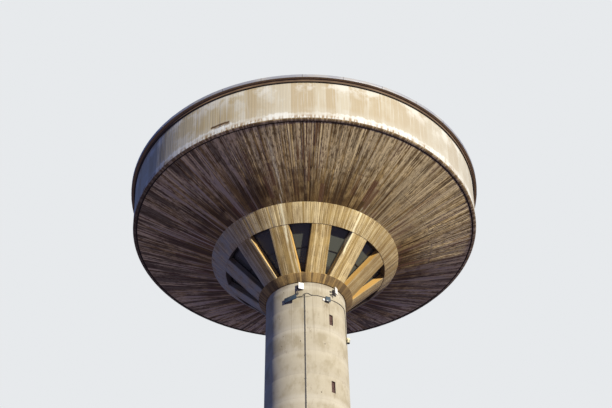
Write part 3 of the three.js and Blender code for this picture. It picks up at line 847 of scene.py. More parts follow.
sunny = towards_sun(net, place["Direction"])
# Painted shade on the side away from the sun: soot-dark wedges along the broad streaks, and grey lime streaks
# whose tint stands in for the shade's blue light.
shade = net.smooth(sunny, 0.6, 0.3)
shade_wedges = net.times(net.smooth(broad["Streak"], 0.50, 0.42), net.spread(shade, 0.2, 0.75))
color = net.mix(shade_wedges, color, UNDERSIDE_SHADE_SOOT)
film = net.times(net.smooth(fine["Streak"], 0.47, 0.60), net.smooth(broad["Streak"], 0.46, 0.56))
shade_lime = net.times(shade, film, net.smooth(from_rim, 0.0, 1.2, 0.3, 0.95))
color = net.mix(shade_lime, color, UNDERSIDE_SHADE_LIME)
spray = lime_runs(net, RUN_SPRAY * RUN_HALF_WIDTH)
strands = net.times(spray, net.smooth(fine["Streak"], 0.49, 0.55), mottled)
color = net.mix(strands, color, LIME_WHITE)
height = net.minus(net.times(boards["Grain"], 0.2), net.times(boards["Joint"], 0.3))
height = net.plus(height, net.times(sprinkle, 0.8))
net.coat(color, height, 0.02, 0.8)
underside_concrete = net.material

print("material", underside_concrete.name)

# %% [markdown]
# The ring beam and the ribs wear tan paint over their board marks, rubbed back to cream on the
# grain and stained brown in the joints. The ring's boards run along a radius and a rib's down its
# length, so each gets its own board numbers. The ribs' recessed sides carry painted light: those
# that face the sun are painted golden, and the others, like the ring's lower face, are painted
# nearly black as painted shade. On the shaded side of the tower grey lime patches cover the
# paint, and their blue-grey tint is painted shade.

# %% Material: ring and ribs
RING_TONES = {
    "pale": rgb(0.860, 0.730, 0.415), "paint": rgb(0.510, 0.370, 0.135), "stain": rgb(0.220, 0.132, 0.050),
}
RIB_TONES = {
    "pale": rgb(0.810, 0.670, 0.370), "paint": rgb(0.475, 0.330, 0.110), "stain": rgb(0.200, 0.122, 0.046),
}
TAN_SUNLIT = rgb(0.550, 0.320, 0.070)
TAN_SHADE_LIME = rgb(0.440, 0.465, 0.400)
TAN_SHADE = rgb(0.048, 0.030, 0.016)
RING_BOARDS = 300
RIB_COUNT = 12
RIB_BOARD_WIDTH = 0.108
rib_low, rib_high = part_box("rib_01")
rib_azimuth = degrees(atan2(rib_low.x + rib_high.x, -rib_low.y - rib_high.y))


def tan_finish(net, boards, tones, streaks=0.0, sunlit_sides=0.0, painted_shade=0.0):
    """Pale and brown wear over tan paint, for boards that are already laid out, with painted sunlight and
    painted shade on top.
    """
    skin = net.skin(0.7, 8.0)
    place = net.place
    wear = net.plus(net.times(boards["Tone"], 0.5), net.times(boards["Grain"], 0.75))
    color = net.mix(net.smooth(wear, 0.50, 0.72), tones["paint"], tones["pale"])
    patchy = net.smooth(skin["Cloud"], 0.34, 0.56)
    stained = net.times(net.smooth(boards["Grain"], 0.56, 0.40), patchy)
    color = net.over(color, tones["stain"], stained, 0.85)
    sunny = towards_sun(net, place["Direction"])
    # Grey lime patches on the side away from the sun; their blue-grey tint is painted shade.
    shade_lime = net.times(net.smooth(sunny, 0.15, -0.15), net.smooth(skin["Cloud"], 0.62, 0.42, 0.3, 0.85))
    color = net.mix(shade_lime, color, TAN_SHADE_LIME)
    color = net.mix(net.smooth(place["Azimuth"], 35.0, 70.0, 0.0, 0.55), color, tones["stain"])
    color = net.over(color, tones["pale"], streaks, 0.75)
    color = net.over(color, tones["stain"], boards["Joint"], 0.5)
    # Painted light: golden where sheltered sides face the sun. Painted shade: nearly black on the faces that
    # the sun misses.
    color = net.mix(sunlit_sides, color, TAN_SUNLIT)
    color = net.mix(lime_runs(net, RUN_HALF_WIDTH), color, LIME_WHITE)
    color = net.mix(painted_shade, color, TAN_SHADE)
    height = net.minus(net.times(boards["Grain"], 0.7), boards["Joint"])
    net.coat(color, height, 0.006, 0.5)


net = Finish("ring_concrete", **BOARDED)
place = net.locate()
boards = boards_round(net, RING_BOARDS, place["Height"], joint=0.12, seed=21.0)
from_top = net.minus(neck_head.x, place["Radius"])
streaks = runs_along(net, from_top, fineness=70.0, seed=9.0, threshold=0.6, reach=1.2)
# Painted shade: the ring's lower face behind the neck's slope is painted nearly black.
painted_shade = net.smooth(place["Depth"], 0.02, 0.05, 0.0, 0.85)
tan_finish(net, boards, RING_TONES, streaks=streaks["Mask"], painted_shade=painted_shade)
ring_concrete = net.material

net = Finish("rib_concrete", **BOARDED)
place = net.locate()
sector = 360 / RIB_COUNT
turned_back = net.minus(place["Azimuth"], rib_azimuth - sector / 2)
number = net.math("FLOOR", net.math("DIVIDE", turned_back, sector))
local = net.minus(net.math("FLOORED_MODULO", turned_back, sector), sector / 2)
side = net.times(net.math("SINE", net.math("RADIANS", local)), place["Radius"])
behind = net.math("MAXIMUM", place["Depth"], 0.0)
wrapped = net.plus(net.math("ABSOLUTE", side), behind)
across = net.times(net.math("SIGN", side), wrapped)
boards = net.group(
    boards_group, Across=across, Along=place["Height"], Board_Width=RIB_BOARD_WIDTH,
    Joint_Width=0.012, Seed=net.times(number, 7.0),
)
# Painted light and shade on the ribs' recessed sides: golden where they face the sun, nearly black where they
# don't.
sheltered = net.smooth(behind, 0.03, 0.07)
facing = net.node("ShaderNodeTexCoord").outputs["Normal"]
faces_sun = net.smooth(towards_sun(net, facing), 0.05, 0.3)
round_sun = net.smooth(towards_sun(net, place["Direction"]), -0.1, 0.3)
sunny = net.times(faces_sun, round_sun)
sunlit_sides = net.times(sheltered, net.times(sunny, 0.75))
painted_shade = net.times(sheltered, net.spread(sunny, 0.7, 0.0))
tan_finish(net, boards, RIB_TONES, sunlit_sides=sunlit_sides, painted_shade=painted_shade)
rib_concrete = net.material

print("materials", ring_concrete.name, rib_concrete.name, "ribs from azimuth", round(rib_azimuth, 2))

# %% [markdown]
# The collar below the ribs is the same work in a darker state: rain from twelve ribs meets there,
# and it has gone brown, with the grain showing through.

# %% Material: collar
COLLAR_DARK = rgb(0.112, 0.068, 0.028)
COLLAR_BROWN = rgb(0.440, 0.290, 0.105)
COLLAR_BOARDS = 150

net = Finish("collar_concrete", **BOARDED)
place = net.locate()
boards = boards_round(net, COLLAR_BOARDS, place["Height"], joint=0.10, seed=31.0)
skin = net.skin(0.8, 4.0)
tone = net.plus(net.times(boards["Tone"], 0.5), net.times(skin["Cloud"], 0.7))
color = net.mix(net.smooth(tone, 0.38, 0.8), COLLAR_DARK, COLLAR_BROWN)
color = net.over(color, RING_TONES["paint"], net.smooth(boards["Grain"], 0.56, 0.66), 0.6)
color = net.over(color, COLLAR_DARK, net.smooth(boards["Grain"], 0.46, 0.36), 0.6)
color = net.over(color, COLLAR_DARK, boards["Joint"], 0.4)
color = net.mix(net.smooth(place["Azimuth"], 20.0, 55.0, 0.0, 0.6), color, COLLAR_DARK)
height = net.minus(boards["Grain"], boards["Joint"])
net.coat(color, height, 0.006, 0.5)
collar_concrete = net.material

print("material", collar_concrete.name)

# %% [markdown]
# The drum wall stands in the full sun. Its boards were set up in panels of several, which show
# as soft upright bands of beige and grey, greyer with dust on the right. Where the sun only
# grazes the wall, a darker sandy tint is painted in as painted shade. Rain has washed thin pale
# drips from under the cornice. At the foot, lime has come out of the concrete in a nearly white
# band, ragged above, with rusty brown gaps at its lower edge. A painted shadow draws a dark line
# along the torn upper edge of the burst patch on the left.

# %% Material: drum wall
WALL_BEIGE = rgb(0.395, 0.330, 0.222)
WALL_GREY = rgb(0.465, 0.425, 0.330)
WALL_PALE = rgb(0.510, 0.492, 0.425)
WALL_BLOOM = rgb(0.640, 0.645, 0.610)
WALL_GRAZING_TINT = rgb(0.395, 0.322, 0.170)
WALL_DUSTY = rgb(0.415, 0.402, 0.360)
WALL_RUST = rgb(0.290, 0.205, 0.120)
WALL_BOARDS = 420
WALL_PANELS = 105
BLOOM_HEIGHT = 0.44
DRIP_COUNT = 400
BURST_AZIMUTH = -25.5
BURST_LINE = 35.85
wall_foot_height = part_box("tank_wall")[0].z
wall_top_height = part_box("tank_wall")[1].z

net = Finish("wall_concrete", Roughness=0.84)
place = net.locate()
boards = boards_round(net, WALL_BOARDS, place["Height"], joint=0.08, seed=41.0)
panels = boards_round(net, WALL_PANELS, place["Height"], joint=0.012, seed=43.0)
sway = net.noise(net.combine(board_number(net, 90), place["Height"], 4.0), 1.0, 3.0, 0.55)
skin = net.skin(1.2, 6.0)
from_top = net.minus(wall_top_height, place["Height"])
from_foot = net.minus(place["Height"], wall_foot_height)
washed = runs_along(net, from_top, fineness=95.0, seed=14.0, threshold=0.60, reach=2.6)
tone = net.plus(net.times(boards["Tone"], 0.12), net.times(panels["Tone"], 0.7))
tone = net.plus(tone, net.times(sway, 0.3))
color = net.mix(net.smooth(tone, 0.42, 0.64), WALL_BEIGE, WALL_GREY)
sunny = towards_sun(net, place["Direction"])
# Painted shade: a darker sandy tint where the sun only grazes the wall.
grazing_tint = net.times(net.smooth(sunny, 0.75, 0.4), net.smooth(sunny, -0.1, 0.25, 0.0, 0.55))
color = net.mix(grazing_tint, color, WALL_GRAZING_TINT)
color = net.mix(net.smooth(place["Azimuth"], 20.0, 50.0, 0.0, 0.45), color, WALL_DUSTY)
pale_panels = net.smooth(panels["Tone"], 0.35, 0.6, 0.15, 1.0)
clouds = net.times(net.smooth(skin["Cloud"], 0.50, 0.62), pale_panels)
color = net.over(color, WALL_PALE, clouds, 0.7)
color = net.over(color, WALL_PALE, washed["Mask"], 0.6)
drips = net.noise(net.combine(board_number(net, DRIP_COUNT), from_foot, 2.0), 1.0, 2.0, 0.6)
patch_place = net.combine(board_number(net, DRIP_COUNT / 9), from_foot, 5.0)
patches = net.noise(patch_place, 1.0, 3.0, 0.6)
crust = net.times(net.smooth(patches, 0.38, 0.52, 0.35, 1.0), net.smooth(sunny, -0.3, 0.4, 0.4, 1.0))
edge = net.spread(drips, 0.4 * BLOOM_HEIGHT, 1.6 * BLOOM_HEIGHT)
bloom = net.smooth(from_foot, edge, net.times(edge, 0.7))
halo = net.smooth(from_foot, 2.0 * BLOOM_HEIGHT, 0.8 * BLOOM_HEIGHT, 0.0, 0.45)
color = net.mix(net.times(halo, crust), color, WALL_PALE)
color = net.mix(net.times(bloom, crust), color, WALL_BLOOM)
low_down = net.smooth(from_foot, 0.7 * BLOOM_HEIGHT, 0.2 * BLOOM_HEIGHT)
gaps = net.times(net.smooth(drips, 0.52, 0.44), low_down)
gaps = net.times(gaps, net.smooth(patches, 0.62, 0.44, 0.3, 0.95))
color = net.mix(gaps, color, WALL_RUST)
crest = net.times(net.smooth(from_top, 1.1, 0.2), net.smooth(skin["Cloud"], 0.46, 0.58))
color = net.over(color, WALL_BLOOM, crest, 0.6)
color = net.over(color, WALL_RUST, boards["Joint"], 0.04)
# Painted shadow: a dark line along the torn upper edge of the burst patch.
off_burst = net.math("ABSOLUTE", net.minus(place["Azimuth"], BURST_AZIMUTH))
ragged = net.plus(net.times(drips, 0.12), BURST_LINE)
off_line = net.math("ABSOLUTE", net.minus(place["Height"], ragged))
burst_shadow = net.times(net.smooth(off_line, 0.085, 0.045), net.smooth(off_burst, 3.4, 2.9))
color = net.mix(burst_shadow, color, COLLAR_DARK)
height = net.minus(net.times(boards["Grain"], 0.4), net.times(boards["Joint"], 0.25))
height = net.minus(height, net.times(skin["Pits"], 0.5))
net.coat(color, height, 0.003, 0.45)
wall_concrete = net.material

print("material", wall_concrete.name)

# %% [markdown]
# The edge ring under the wall wears the underside's brown, and the cornice above the wall is a
# deeper brown. Painted shade darkens both on the side away from the sun. The ring's drip groove
# and the cornice's lower face are painted nearly black as painted shade, and lime from the wall
# runs over the ring in short pale drips.

# %% Material: edge ring and cornice
EDGE_DARK = rgb(0.048, 0.034, 0.022)
EDGE_BROWN = rgb(0.126, 0.076, 0.044)
EDGE_PALE = rgb(0.215, 0.140, 0.084)
RIM_BROWN = rgb(0.360, 0.235, 0.088)
RIM_PALE = rgb(0.520, 0.390, 0.180)
GROOVE_LIP = 0.012
edge_foot_radius = lowest_rim("edge_ring")[0]
edge_top_radius = widest("edge_ring")[0]
cornice_foot_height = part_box("cornice")[0].z
cornice_radius = widest("cornice")[0]


def edge_finish(name, brown, pale, drips, shade_of):
    """Brown paint with pale drips and painted shade. The last value gives the painted shade mask for the
    surface's place.
    """
    net = Finish(name, Roughness=0.8, Diffuse_Roughness=1.0)
    place = net.locate()
    skin = net.skin(0.9, 15.0)
    inwards = net.minus(edge_top_radius, place["Radius"])
    runs = runs_along(net, inwards, fineness=62.0, seed=19.0, threshold=0.52, reach=0.35)
    color = net.mix(net.smooth(skin["Cloud"], 0.35, 0.7), brown, pale)
    color = net.over(color, UNDERSIDE_CREAM, runs["Mask"], drips)
    # Painted shade: darker on the side away from the sun.
    sunny = towards_sun(net, place["Direction"])
    color = net.mix(net.smooth(sunny, 0.4, -0.2, 0.0, 0.75), color, EDGE_DARK)
    color = net.mix(shade_of(net), color, EDGE_DARK)
    net.coat(color, skin["Sand"], 0.002, 0.6)
    return net.material


# Painted shade masks: the ring's drip groove and the cornice's lower face.
def groove_shade(net):
    return net.smooth(net.place["Radius"], edge_foot_radius + GROOVE_LIP, edge_foot_radius)


def soffit_shade(net):
    return net.smooth(net.place["Height"], cornice_foot_height + 0.020, cornice_foot_height + 0.008)


edge_concrete = edge_finish("edge_concrete", RIM_BROWN, RIM_PALE, 0.75, groove_shade)
cornice_concrete = edge_finish("cornice_concrete", EDGE_BROWN, EDGE_PALE, 0.0, soffit_shade)
print("materials", edge_concrete.name, cornice_concrete.name)

# %% [markdown]
# The shaft is smooth cream concrete, cast in lifts of about 1.35 m. Each lift line is a soft pale
# band with a faint line in it, stronger on some lifts than on others. The paint has worn to beige
# in patches, a few long streaks run down from the collar, and brown smudges mark where ropes and
# platforms rubbed the wall. Inside the openings it is red-brown.

# %% Material: shaft and inner floors
SHAFT_CREAM = rgb(0.450, 0.412, 0.320)
SHAFT_WORN = rgb(0.350, 0.308, 0.218)
SHAFT_PALE = rgb(0.530, 0.500, 0.420)
SHAFT_STAIN = rgb(0.176, 0.124, 0.072)
REVEAL_RED = rgb(0.260, 0.110, 0.070)
LIFT_LINE = 27.9
LIFT_PITCH = 1.35

net = Finish("shaft_concrete", **BOARDED)
place = net.locate()
skin = net.skin(1.1, 51.0)
patches = net.noise(net.combine(
    net.times(place["Azimuth"], 0.06), net.times(place["Height"], 0.9), 3.0,
), 1.0, 4.0, 0.6)
color = net.mix(net.smooth(patches, 0.44, 0.66), SHAFT_CREAM, SHAFT_WORN)
lift = net.math("DIVIDE", net.minus(place["Height"], LIFT_LINE), LIFT_PITCH)
wobble = net.times(net.minus(skin["Cloud"], 0.5), 0.05)
lift = net.plus(lift, net.plus(wobble, 0.5))
phase = net.minus(net.math("FRACT", lift), 0.5)
lift_number = net.math("FLOOR", lift)
strength = net.spread(net.white(net.combine(lift_number, 4.0, 0.0)), 0.25, 1.0)
away = net.math("ABSOLUTE", phase)
band = net.times(net.smooth(away, 0.26, 0.06), strength)
line = net.times(net.smooth(away, 0.009, 0.003), strength)
panel_turn = net.times(place["Azimuth"], 1 / 24)
panel = net.white(net.combine(net.math("FLOOR", panel_turn), lift_number, 0.0))
color = net.over(color, SHAFT_WORN, panel, 0.25)
color = net.over(color, SHAFT_PALE, band, 0.55)
color = net.over(color, SHAFT_STAIN, line, 0.12)
smudges = net.noise(net.vector("MULTIPLY", net.position, (2.2, 2.2, 1.1)), 1.0, 4.0, 0.7)
color = net.mix(net.smooth(smudges, 0.60, 0.72, 0.0, 0.45), color, SHAFT_STAIN)
from_top = net.minus(shaft_top, place["Height"])
streaks = runs_along(net, from_top, fineness=42.0, seed=23.0, threshold=0.62, reach=5.0, softness=0.07)
color = net.over(color, SHAFT_STAIN, streaks["Mask"], 0.3)
under_collar = net.times(net.smooth(from_top, 0.35, 0.0), net.smooth(skin["Cloud"], 0.4, 0.6))
color = net.over(color, SHAFT_STAIN, under_collar, 0.45)
splash = net.times(net.smooth(place["Height"], 1.1, 0.0), net.smooth(skin["Cloud"], 0.3, 0.7))
color = net.over(color, SHAFT_STAIN, splash, 0.5)
color = net.over(color, SHAFT_STAIN, net.smooth(skin["Pits"], 0.5, 0.9), 0.35)
behind_face = net.smooth(place["Radius"], shaft_radius - 0.015, shaft_radius - 0.035)
reveal = net.times(behind_face, net.smooth(place["Radius"], shaft_bore, shaft_bore + 0.01))
color = net.mix(reveal, color, REVEAL_RED)
height = net.minus(net.times(skin["Sand"], 0.35), skin["Pits"])
net.coat(color, height, 0.004, 0.5)
shaft_concrete = net.material

print("material", shaft_concrete.name)

# %% [markdown]
# The roof carries grey felt, with a joint every metre or so from the vent to the edge, and its
# bare soffit is dark brown. The sheet metal along the edge, the vent and the hatch are dull
# grey-white, and dust and soft dents keep them from looking new.

# %% Material: roof
FELT_GREY = rgb(0.240, 0.236, 0.224)
FELT_DARK = rgb(0.136, 0.132, 0.124)
FELT_SHEETS = 60
SHEET_GREY = rgb(0.370, 0.375, 0.400)
SHEET_DUST = rgb(0.352, 0.328, 0.288)
SHEET_DARK = rgb(0.104, 0.096, 0.092)
SHEET_SEAMS = 30
SOFFIT_BROWN = rgb(0.380, 0.270, 0.140)
roof_soffit_height = section_points("roof_slab")[0][1]

net = Finish("roof_felt", Roughness=0.9, IOR=1.45)
place = net.locate()
skin = net.skin(1.5, 61.0)
sheets = boards_round(net, FELT_SHEETS, place["Radius"], joint=0.04, seed=62.0)
tone = net.plus(net.times(sheets["Tone"], 0.4), net.times(skin["Cloud"], 0.6))
color = net.mix(net.smooth(tone, 0.3, 0.75), FELT_DARK, FELT_GREY)
color = net.over(color, FELT_DARK, sheets["Joint"], 0.6)
soffit = net.smooth(place["Height"], roof_soffit_height + 0.02, roof_soffit_height + 0.005)
color = net.mix(soffit, color, SOFFIT_BROWN)
height = net.plus(net.times(skin["Sand"], 0.4), sheets["Joint"])
net.coat(color, height, 0.004, 0.6)
roof_felt = net.material

net = Finish("sheet_metal", IOR=1.5)
place = net.locate()
skin = net.skin(0.8, 66.0)
dusty = net.smooth(skin["Cloud"], 0.42, 0.72)
color = net.over(SHEET_GREY, SHEET_DUST, dusty, 0.6)
laps = boards_round(net, SHEET_SEAMS, 0.0, joint=0.014, seed=67.0)
at_edge = net.smooth(place["Radius"], cornice_radius, cornice_radius + 0.1)
color = net.mix(net.times(laps["Joint"], net.times(at_edge, 0.7)), color, SHEET_DARK)
net.feed(net.surface["Base Color"], color)
net.feed(net.surface["Metallic"], net.spread(dusty, 0.30, 0.08))
net.feed(net.surface["Roughness"], net.spread(dusty, 0.42, 0.7))
dents = net.noise(net.position, 5.0, 1.0, 0.4)
net.feed(net.surface["Normal"], net.bump(dents, 0.006, 0.35))
sheet_metal = net.material

print("materials", roof_felt.name, sheet_metal.name)

# %% [markdown]
# Behind the ribs sit steel windows in dark paint. Their dusty panes turn a flat grey-green in the
# sun and stay nearly black in the shade. The dust is thicker along the lower edge of each pane.

# %% Material: window steel and glass
STEEL_PAINT = rgb(0.024, 0.022, 0.018)
STEEL_DUST = rgb(0.080, 0.064, 0.044)
GLASS_DUST = rgb(0.134, 0.140, 0.106)
GLASS_CLEAR = rgb(0.104, 0.116, 0.104)

net = Finish("window_steel", Roughness=0.55, IOR=1.5)
skin = net.skin(0.35, 71.0)
color = net.mix(net.smooth(skin["Cloud"], 0.5, 0.75), STEEL_PAINT, STEEL_DUST)
net.coat(color, skin["Sand"], 0.001, 0.4)
window_steel = net.material

net = Finish("dusty_glass", IOR=1.5, Metallic=0.0, Transmission_Weight=0.35)
place = net.locate()
skin = net.skin(0.45, 75.0)
low = net.smooth(place["Height"], 32.3, 31.6)
dust = net.plus(net.times(skin["Cloud"], 0.8), net.times(low, 0.35), clamp=True)
color = net.mix(dust, GLASS_CLEAR, GLASS_DUST)
net.feed(net.surface["Base Color"], color)
net.feed(net.surface["Roughness"], net.spread(dust, 0.12, 0.4))
dusty_glass = net.material

print("materials", window_steel.name, dusty_glass.name)

# %% [markdown]
# The small fittings share one recipe: a plain colour that dust and wear lighten or darken in
# soft spots, with its own roughness.

# %% Materials: fittings
def fitting_paint(name, clean, worn, rough, wear, seed, metallic=0.0):
    """A painted or moulded surface: clean colour with worn or dusty spots."""
    net = Finish(name, Metallic=metallic, IOR=1.5)
    skin = net.skin(0.16, seed)
    spots = net.times(net.smooth(skin["Cloud"], 0.46, 0.7), wear)
    net.feed(net.surface["Base Color"], net.mix(spots, rgb(*clean), rgb(*worn)))
    net.feed(net.surface["Roughness"], net.spread(skin["Cloud"], rough - 0.08, rough + 0.12))
    net.feed(net.surface["Normal"], net.bump(skin["Sand"], 0.0008, 0.35))
    return net.material


housing_paint = fitting_paint("light_housing", (0.018, 0.030, 0.055), (0.07, 0.07, 0.07), 0.5, 0.5, 81.0)
fitting_steel = fitting_paint("fitting_steel", (0.065, 0.065, 0.07), (0.16, 0.11, 0.07), 0.5, 0.7, 82.0, 0.6)
aerial_plastic = fitting_paint("aerial_shell", (0.80, 0.80, 0.77), (0.58, 0.55, 0.47), 0.42, 0.5, 83.0)
lamp_plastic = fitting_paint("lamp_shell", (0.80, 0.72, 0.46), (0.62, 0.52, 0.30), 0.4, 0.5, 84.0)
cable_rubber = fitting_paint("cable_sheath", (0.045, 0.042, 0.040), (0.14, 0.12, 0.09), 0.6, 0.6, 85.0)
conduit_paint = fitting_paint("conduit_paint", (0.10, 0.095, 0.085), (0.20, 0.17, 0.12), 0.5, 0.7, 86.0, 0.2)
pale_trim = fitting_paint("pale_trim", (0.44, 0.42, 0.36), (0.45, 0.38, 0.27), 0.55, 0.6, 87.0)
door_paint = fitting_paint("door_paint", (0.12, 0.165, 0.14), (0.30, 0.25, 0.17), 0.45, 0.8, 88.0)
rusty_steel = fitting_paint("rusty_steel", (0.26, 0.12, 0.055), (0.14, 0.075, 0.04), 0.8, 1.0, 89.0, 0.1)
shutter_paint = fitting_paint("shutter_paint", (0.058, 0.024, 0.020), (0.095, 0.048, 0.036), 0.6, 0.8, 92.0)
lens_glass = fitting_paint("lens_glass", (0.06, 0.09, 0.12), (0.12, 0.13, 0.13), 0.2, 0.6, 90.0)
lamp_glass = fitting_paint("lamp_glass", (0.60, 0.55, 0.38), (0.42, 0.37, 0.24), 0.25, 0.6, 91.0)
print("materials in all", len(bpy.data.materials))

# %% [markdown]
# The first piece is the tank's underside, and it shows how the boards work. Every board gets three
# azimuths: both edges of its face and the bottom of the joint after it. Its two edges stand out
# by slightly different amounts, as on a real board, so the raking light picks up some boards and
# drops others.

# %% Board relief
BOARD_PLAY = 0.002
JOINT_SHARE = 0.09


def board_turns(count, groove, seed, play=BOARD_PLAY):
    """Azimuths of the boards' edges and joints, and how far the face stands out at each."""
    dice = np.random.default_rng(seed)
    step = 2 * pi / count
    start = np.arange(count) * step
    half_joint = step * JOINT_SHARE / 2
    azimuths = np.stack([start + half_joint, start + step - half_joint, start + step], axis=1)
    level = dice.uniform(-play, play, count)
    tilt = dice.uniform(-play, play, count)
    relief = np.stack([level - tilt / 2, level + tilt / 2, np.full(count, -groove)], axis=1)
    return azimuths.reshape(-1), relief.reshape(-1, 1)


def board_shell(name, outline, shown, boards, material, node):
    """A turned piece with boards on the corners that are shown, marked 1, and plain ones at 0."""
    azimuths, relief = board_turns(**boards)
    turned_piece(name, outline, azimuths, material, node, relief * np.array(shown))


print("a board's face stands out by up to", BOARD_PLAY, "m, and its joint takes", JOINT_SHARE, "of its width")

# %% Tank underside
CONE_LAP_RADIUS = 7.3
CONE_LAP_HALF = 0.03
CONE_LAP_DEPTH = 0.004
cone_inner, above_inner, cone_outer = section_points("tank_bottom")[:3]
cone_thick = above_inner[1] - cone_inner[1]


def on_cone(radius):
    """The point of the tank's underside at that radius."""
    share = (radius - cone_inner[0]) / (cone_outer[0] - cone_inner[0])
    return (radius, cone_inner[1] + share * (cone_outer[1] - cone_inner[1]))


print("underside from", cone_inner, "to", cone_outer, "thick", round(cone_thick, 3))

lap = [on_cone(CONE_LAP_RADIUS + k * CONE_LAP_HALF) for k in (-2, -1, 0, 1, 2)]
back = [(radius, height + cone_thick) for radius, height in (cone_outer, cone_inner)]
azimuths, relief = board_turns(UNDERSIDE_BOARDS, 0.005, seed=11)
shown = np.array([1, 1, 1, 1, 1, 1, 1, 0, 0])
sunk = np.array([0, 0, 0, -CONE_LAP_DEPTH, 0, 0, 0, 0, 0])
turned_piece("tank_underside", [cone_inner, *lap, cone_outer, *back], azimuths,
             underside_concrete, "tank_bottom", relief * shown + sunk)

# %% [markdown]
# The ring beam, the collar and the drum wall are boarded the same way, with their own numbers of
# boards. Only the corners that can be seen carry the relief, and the lower arrises, which are
# knocked most, are rounded.

# %% Ring beam and collar
ARRIS = 0.012
COLLAR_EDGE = 0.010
rounded = ROUND_STEPS + 1

low, inner_low, high, *tops = section_points("ring_beam")
outline = softened([inner_low, low, high, max(tops), min(tops)], [0, ARRIS, 0, 0, 0])
shown = [1] * (1 + rounded) + [1, 0, 0]
boards = {"count": RING_BOARDS, "groove": 0.004, "seed": 21}
board_shell("ring_beam_boards", outline, shown, boards, ring_concrete, "ring_beam")

inner_low, low, edge, inner_high, back = section_points("collar")
outline = softened([inner_low, low, edge, back, inner_high], [0, COLLAR_EDGE, COLLAR_EDGE, 0, 0])
shown = [0] + [1] * (2 * rounded) + [0, 0]
boards = {"count": COLLAR_BOARDS, "groove": 0.005, "seed": 31}
board_shell("collar_boards", outline, shown, boards, collar_concrete, "collar")

# %% [markdown]
# In one place low on the drum wall the cover has burst off over a span of about a metre and a
# quarter, and the rusty bars show. The wall has a few extra rows of points there, and a ragged
# random depth moves them in.

# %% Drum wall with its burst patch
SPALL_START = radians(-28.7)
SPALL_END = radians(-22.3)
SPALL_HEIGHTS = [35.70, 35.745, 35.79, 35.83, 35.875, 35.92, 35.96]
SPALL_DEPTH = 0.024
WALL_PLAY = 0.0005
WALL_GROOVE = 0.0009
wall_low_inner, wall_low_outer, wall_high_inner, wall_high_outer = section_points("tank_wall")


def wall_radius(height):
    """The drum wall's outer radius at a height."""
    share = (height - wall_low_outer[1]) / (wall_high_outer[1] - wall_low_outer[1])
    return wall_low_outer[0] + share * (wall_high_outer[0] - wall_low_outer[0])


rows = [(wall_radius(height), height) for height in SPALL_HEIGHTS]
outline = [wall_low_inner, wall_low_outer, *rows, wall_high_outer, wall_high_inner]
azimuths, relief = board_turns(WALL_BOARDS, WALL_GROOVE, seed=41, play=WALL_PLAY)
shown = np.array([0, 1, *[1] * len(rows), 1, 0])
signed = (azimuths + pi) % (2 * pi) - pi
inside = (signed > SPALL_START) & (signed < SPALL_END)
dice = np.random.default_rng(5)
burst = np.zeros((len(azimuths), len(outline)))
burst[:, 3:-3] = dice.uniform(0.15, 1.0, (len(azimuths), len(rows) - 2)) * inside[:, None]
moved = relief * shown - SPALL_DEPTH * burst
turned_piece("drum_wall", outline, azimuths, wall_concrete, "tank_wall", moved)

# %% Bars in the burst patch
BAR_RADIUS = 0.006
BAR_INSET = 0.010
BAR_STEPS = 17
BAR_COVER = radians(0.2)
LEVEL_BARS = (35.79, 35.87)
UPRIGHT_SHARES = (0.12, 0.36, 0.61, 0.87)
UPRIGHT_ENDS = (35.74, 35.925)

bars = Fitting()
turns = np.linspace(SPALL_START + BAR_COVER, SPALL_END - BAR_COVER, BAR_STEPS).tolist()
for height in LEVEL_BARS:
    depth = wall_radius(height) - BAR_INSET
    bars.bent_rod([polar(depth, turn, height) for turn in turns], BAR_RADIUS)
radius = wall_radius(35.83) - BAR_INSET - 2 * BAR_RADIUS
for share in UPRIGHT_SHARES:
    turn = SPALL_START + share * (SPALL_END - SPALL_START)
    bars.rod(*(polar(radius, turn, height) for height in UPRIGHT_ENDS), BAR_RADIUS)
bars.hand_over("bare_bars", [rusty_steel], "wall_concrete")

# %% [markdown]
# The edge ring and the cornice were cast against smooth plates, so they are plain turned pieces
# with soft corners. The ring carries the cone's slope on, past the drip groove that draws a dark
# line along the rim.

# %% Edge ring and cornice
RIM_SEGMENTS = 360
RIM_EDGE = 0.010
RING_EDGE = 0.005

foot, groove_inner, groove_outer, lip, top_inner, top = section_points("edge_ring")
corners = [foot, lip, top, top_inner, groove_inner, groove_outer]
outline = softened(corners, [RING_EDGE, RING_EDGE, RING_EDGE, 0, 0, 0])
turned_piece("rim_ring", outline, even_turns(RIM_SEGMENTS), edge_concrete, "edge_ring")

inner_low, low, inner_top, top = section_points("cornice")
outline = softened([inner_low, low, top, inner_top], [0, RIM_EDGE, RIM_EDGE, 0])
azimuths = even_turns(RIM_SEGMENTS)
turned_piece("roof_cornice", outline, azimuths, cornice_concrete, "cornice")

# %% [markdown]
# The roof is a low cone behind a small kerb. Sheet metal is folded over the kerb in overlapping
# lengths of about two metres, so the edge gets a raised strip at each joint and is very slightly
# uneven between them.

# %% Roof and its sheet metal edge
SEAM_WIDTH = 0.035
SEAM_HEIGHT = 0.006
SHEET_STEPS = 12
SHEET_SAG = 0.003
ROOF_SEGMENTS = 240


def seamed_turns(count, radius, seed):
    """Azimuths of the sheets' joints and faces, and how far the metal stands out at each."""
    dice = random.Random(seed)
    sheet = 2 * pi / count
    half = SEAM_WIDTH / radius / 2
    azimuths, relief = [], []
    for i in range(count):
        start = i * sheet
        azimuths += [start - half, start - half * 0.9, start + half * 0.9, start + half]
        relief += [0, SEAM_HEIGHT, SEAM_HEIGHT, 0]
        for k in range(1, SHEET_STEPS):
            azimuths.append(start + half + (sheet - 2 * half) * k / SHEET_STEPS)
            relief.append(dice.uniform(-SHEET_SAG, SHEET_SAG))
    return np.array(azimuths), np.array(relief)[:, None]


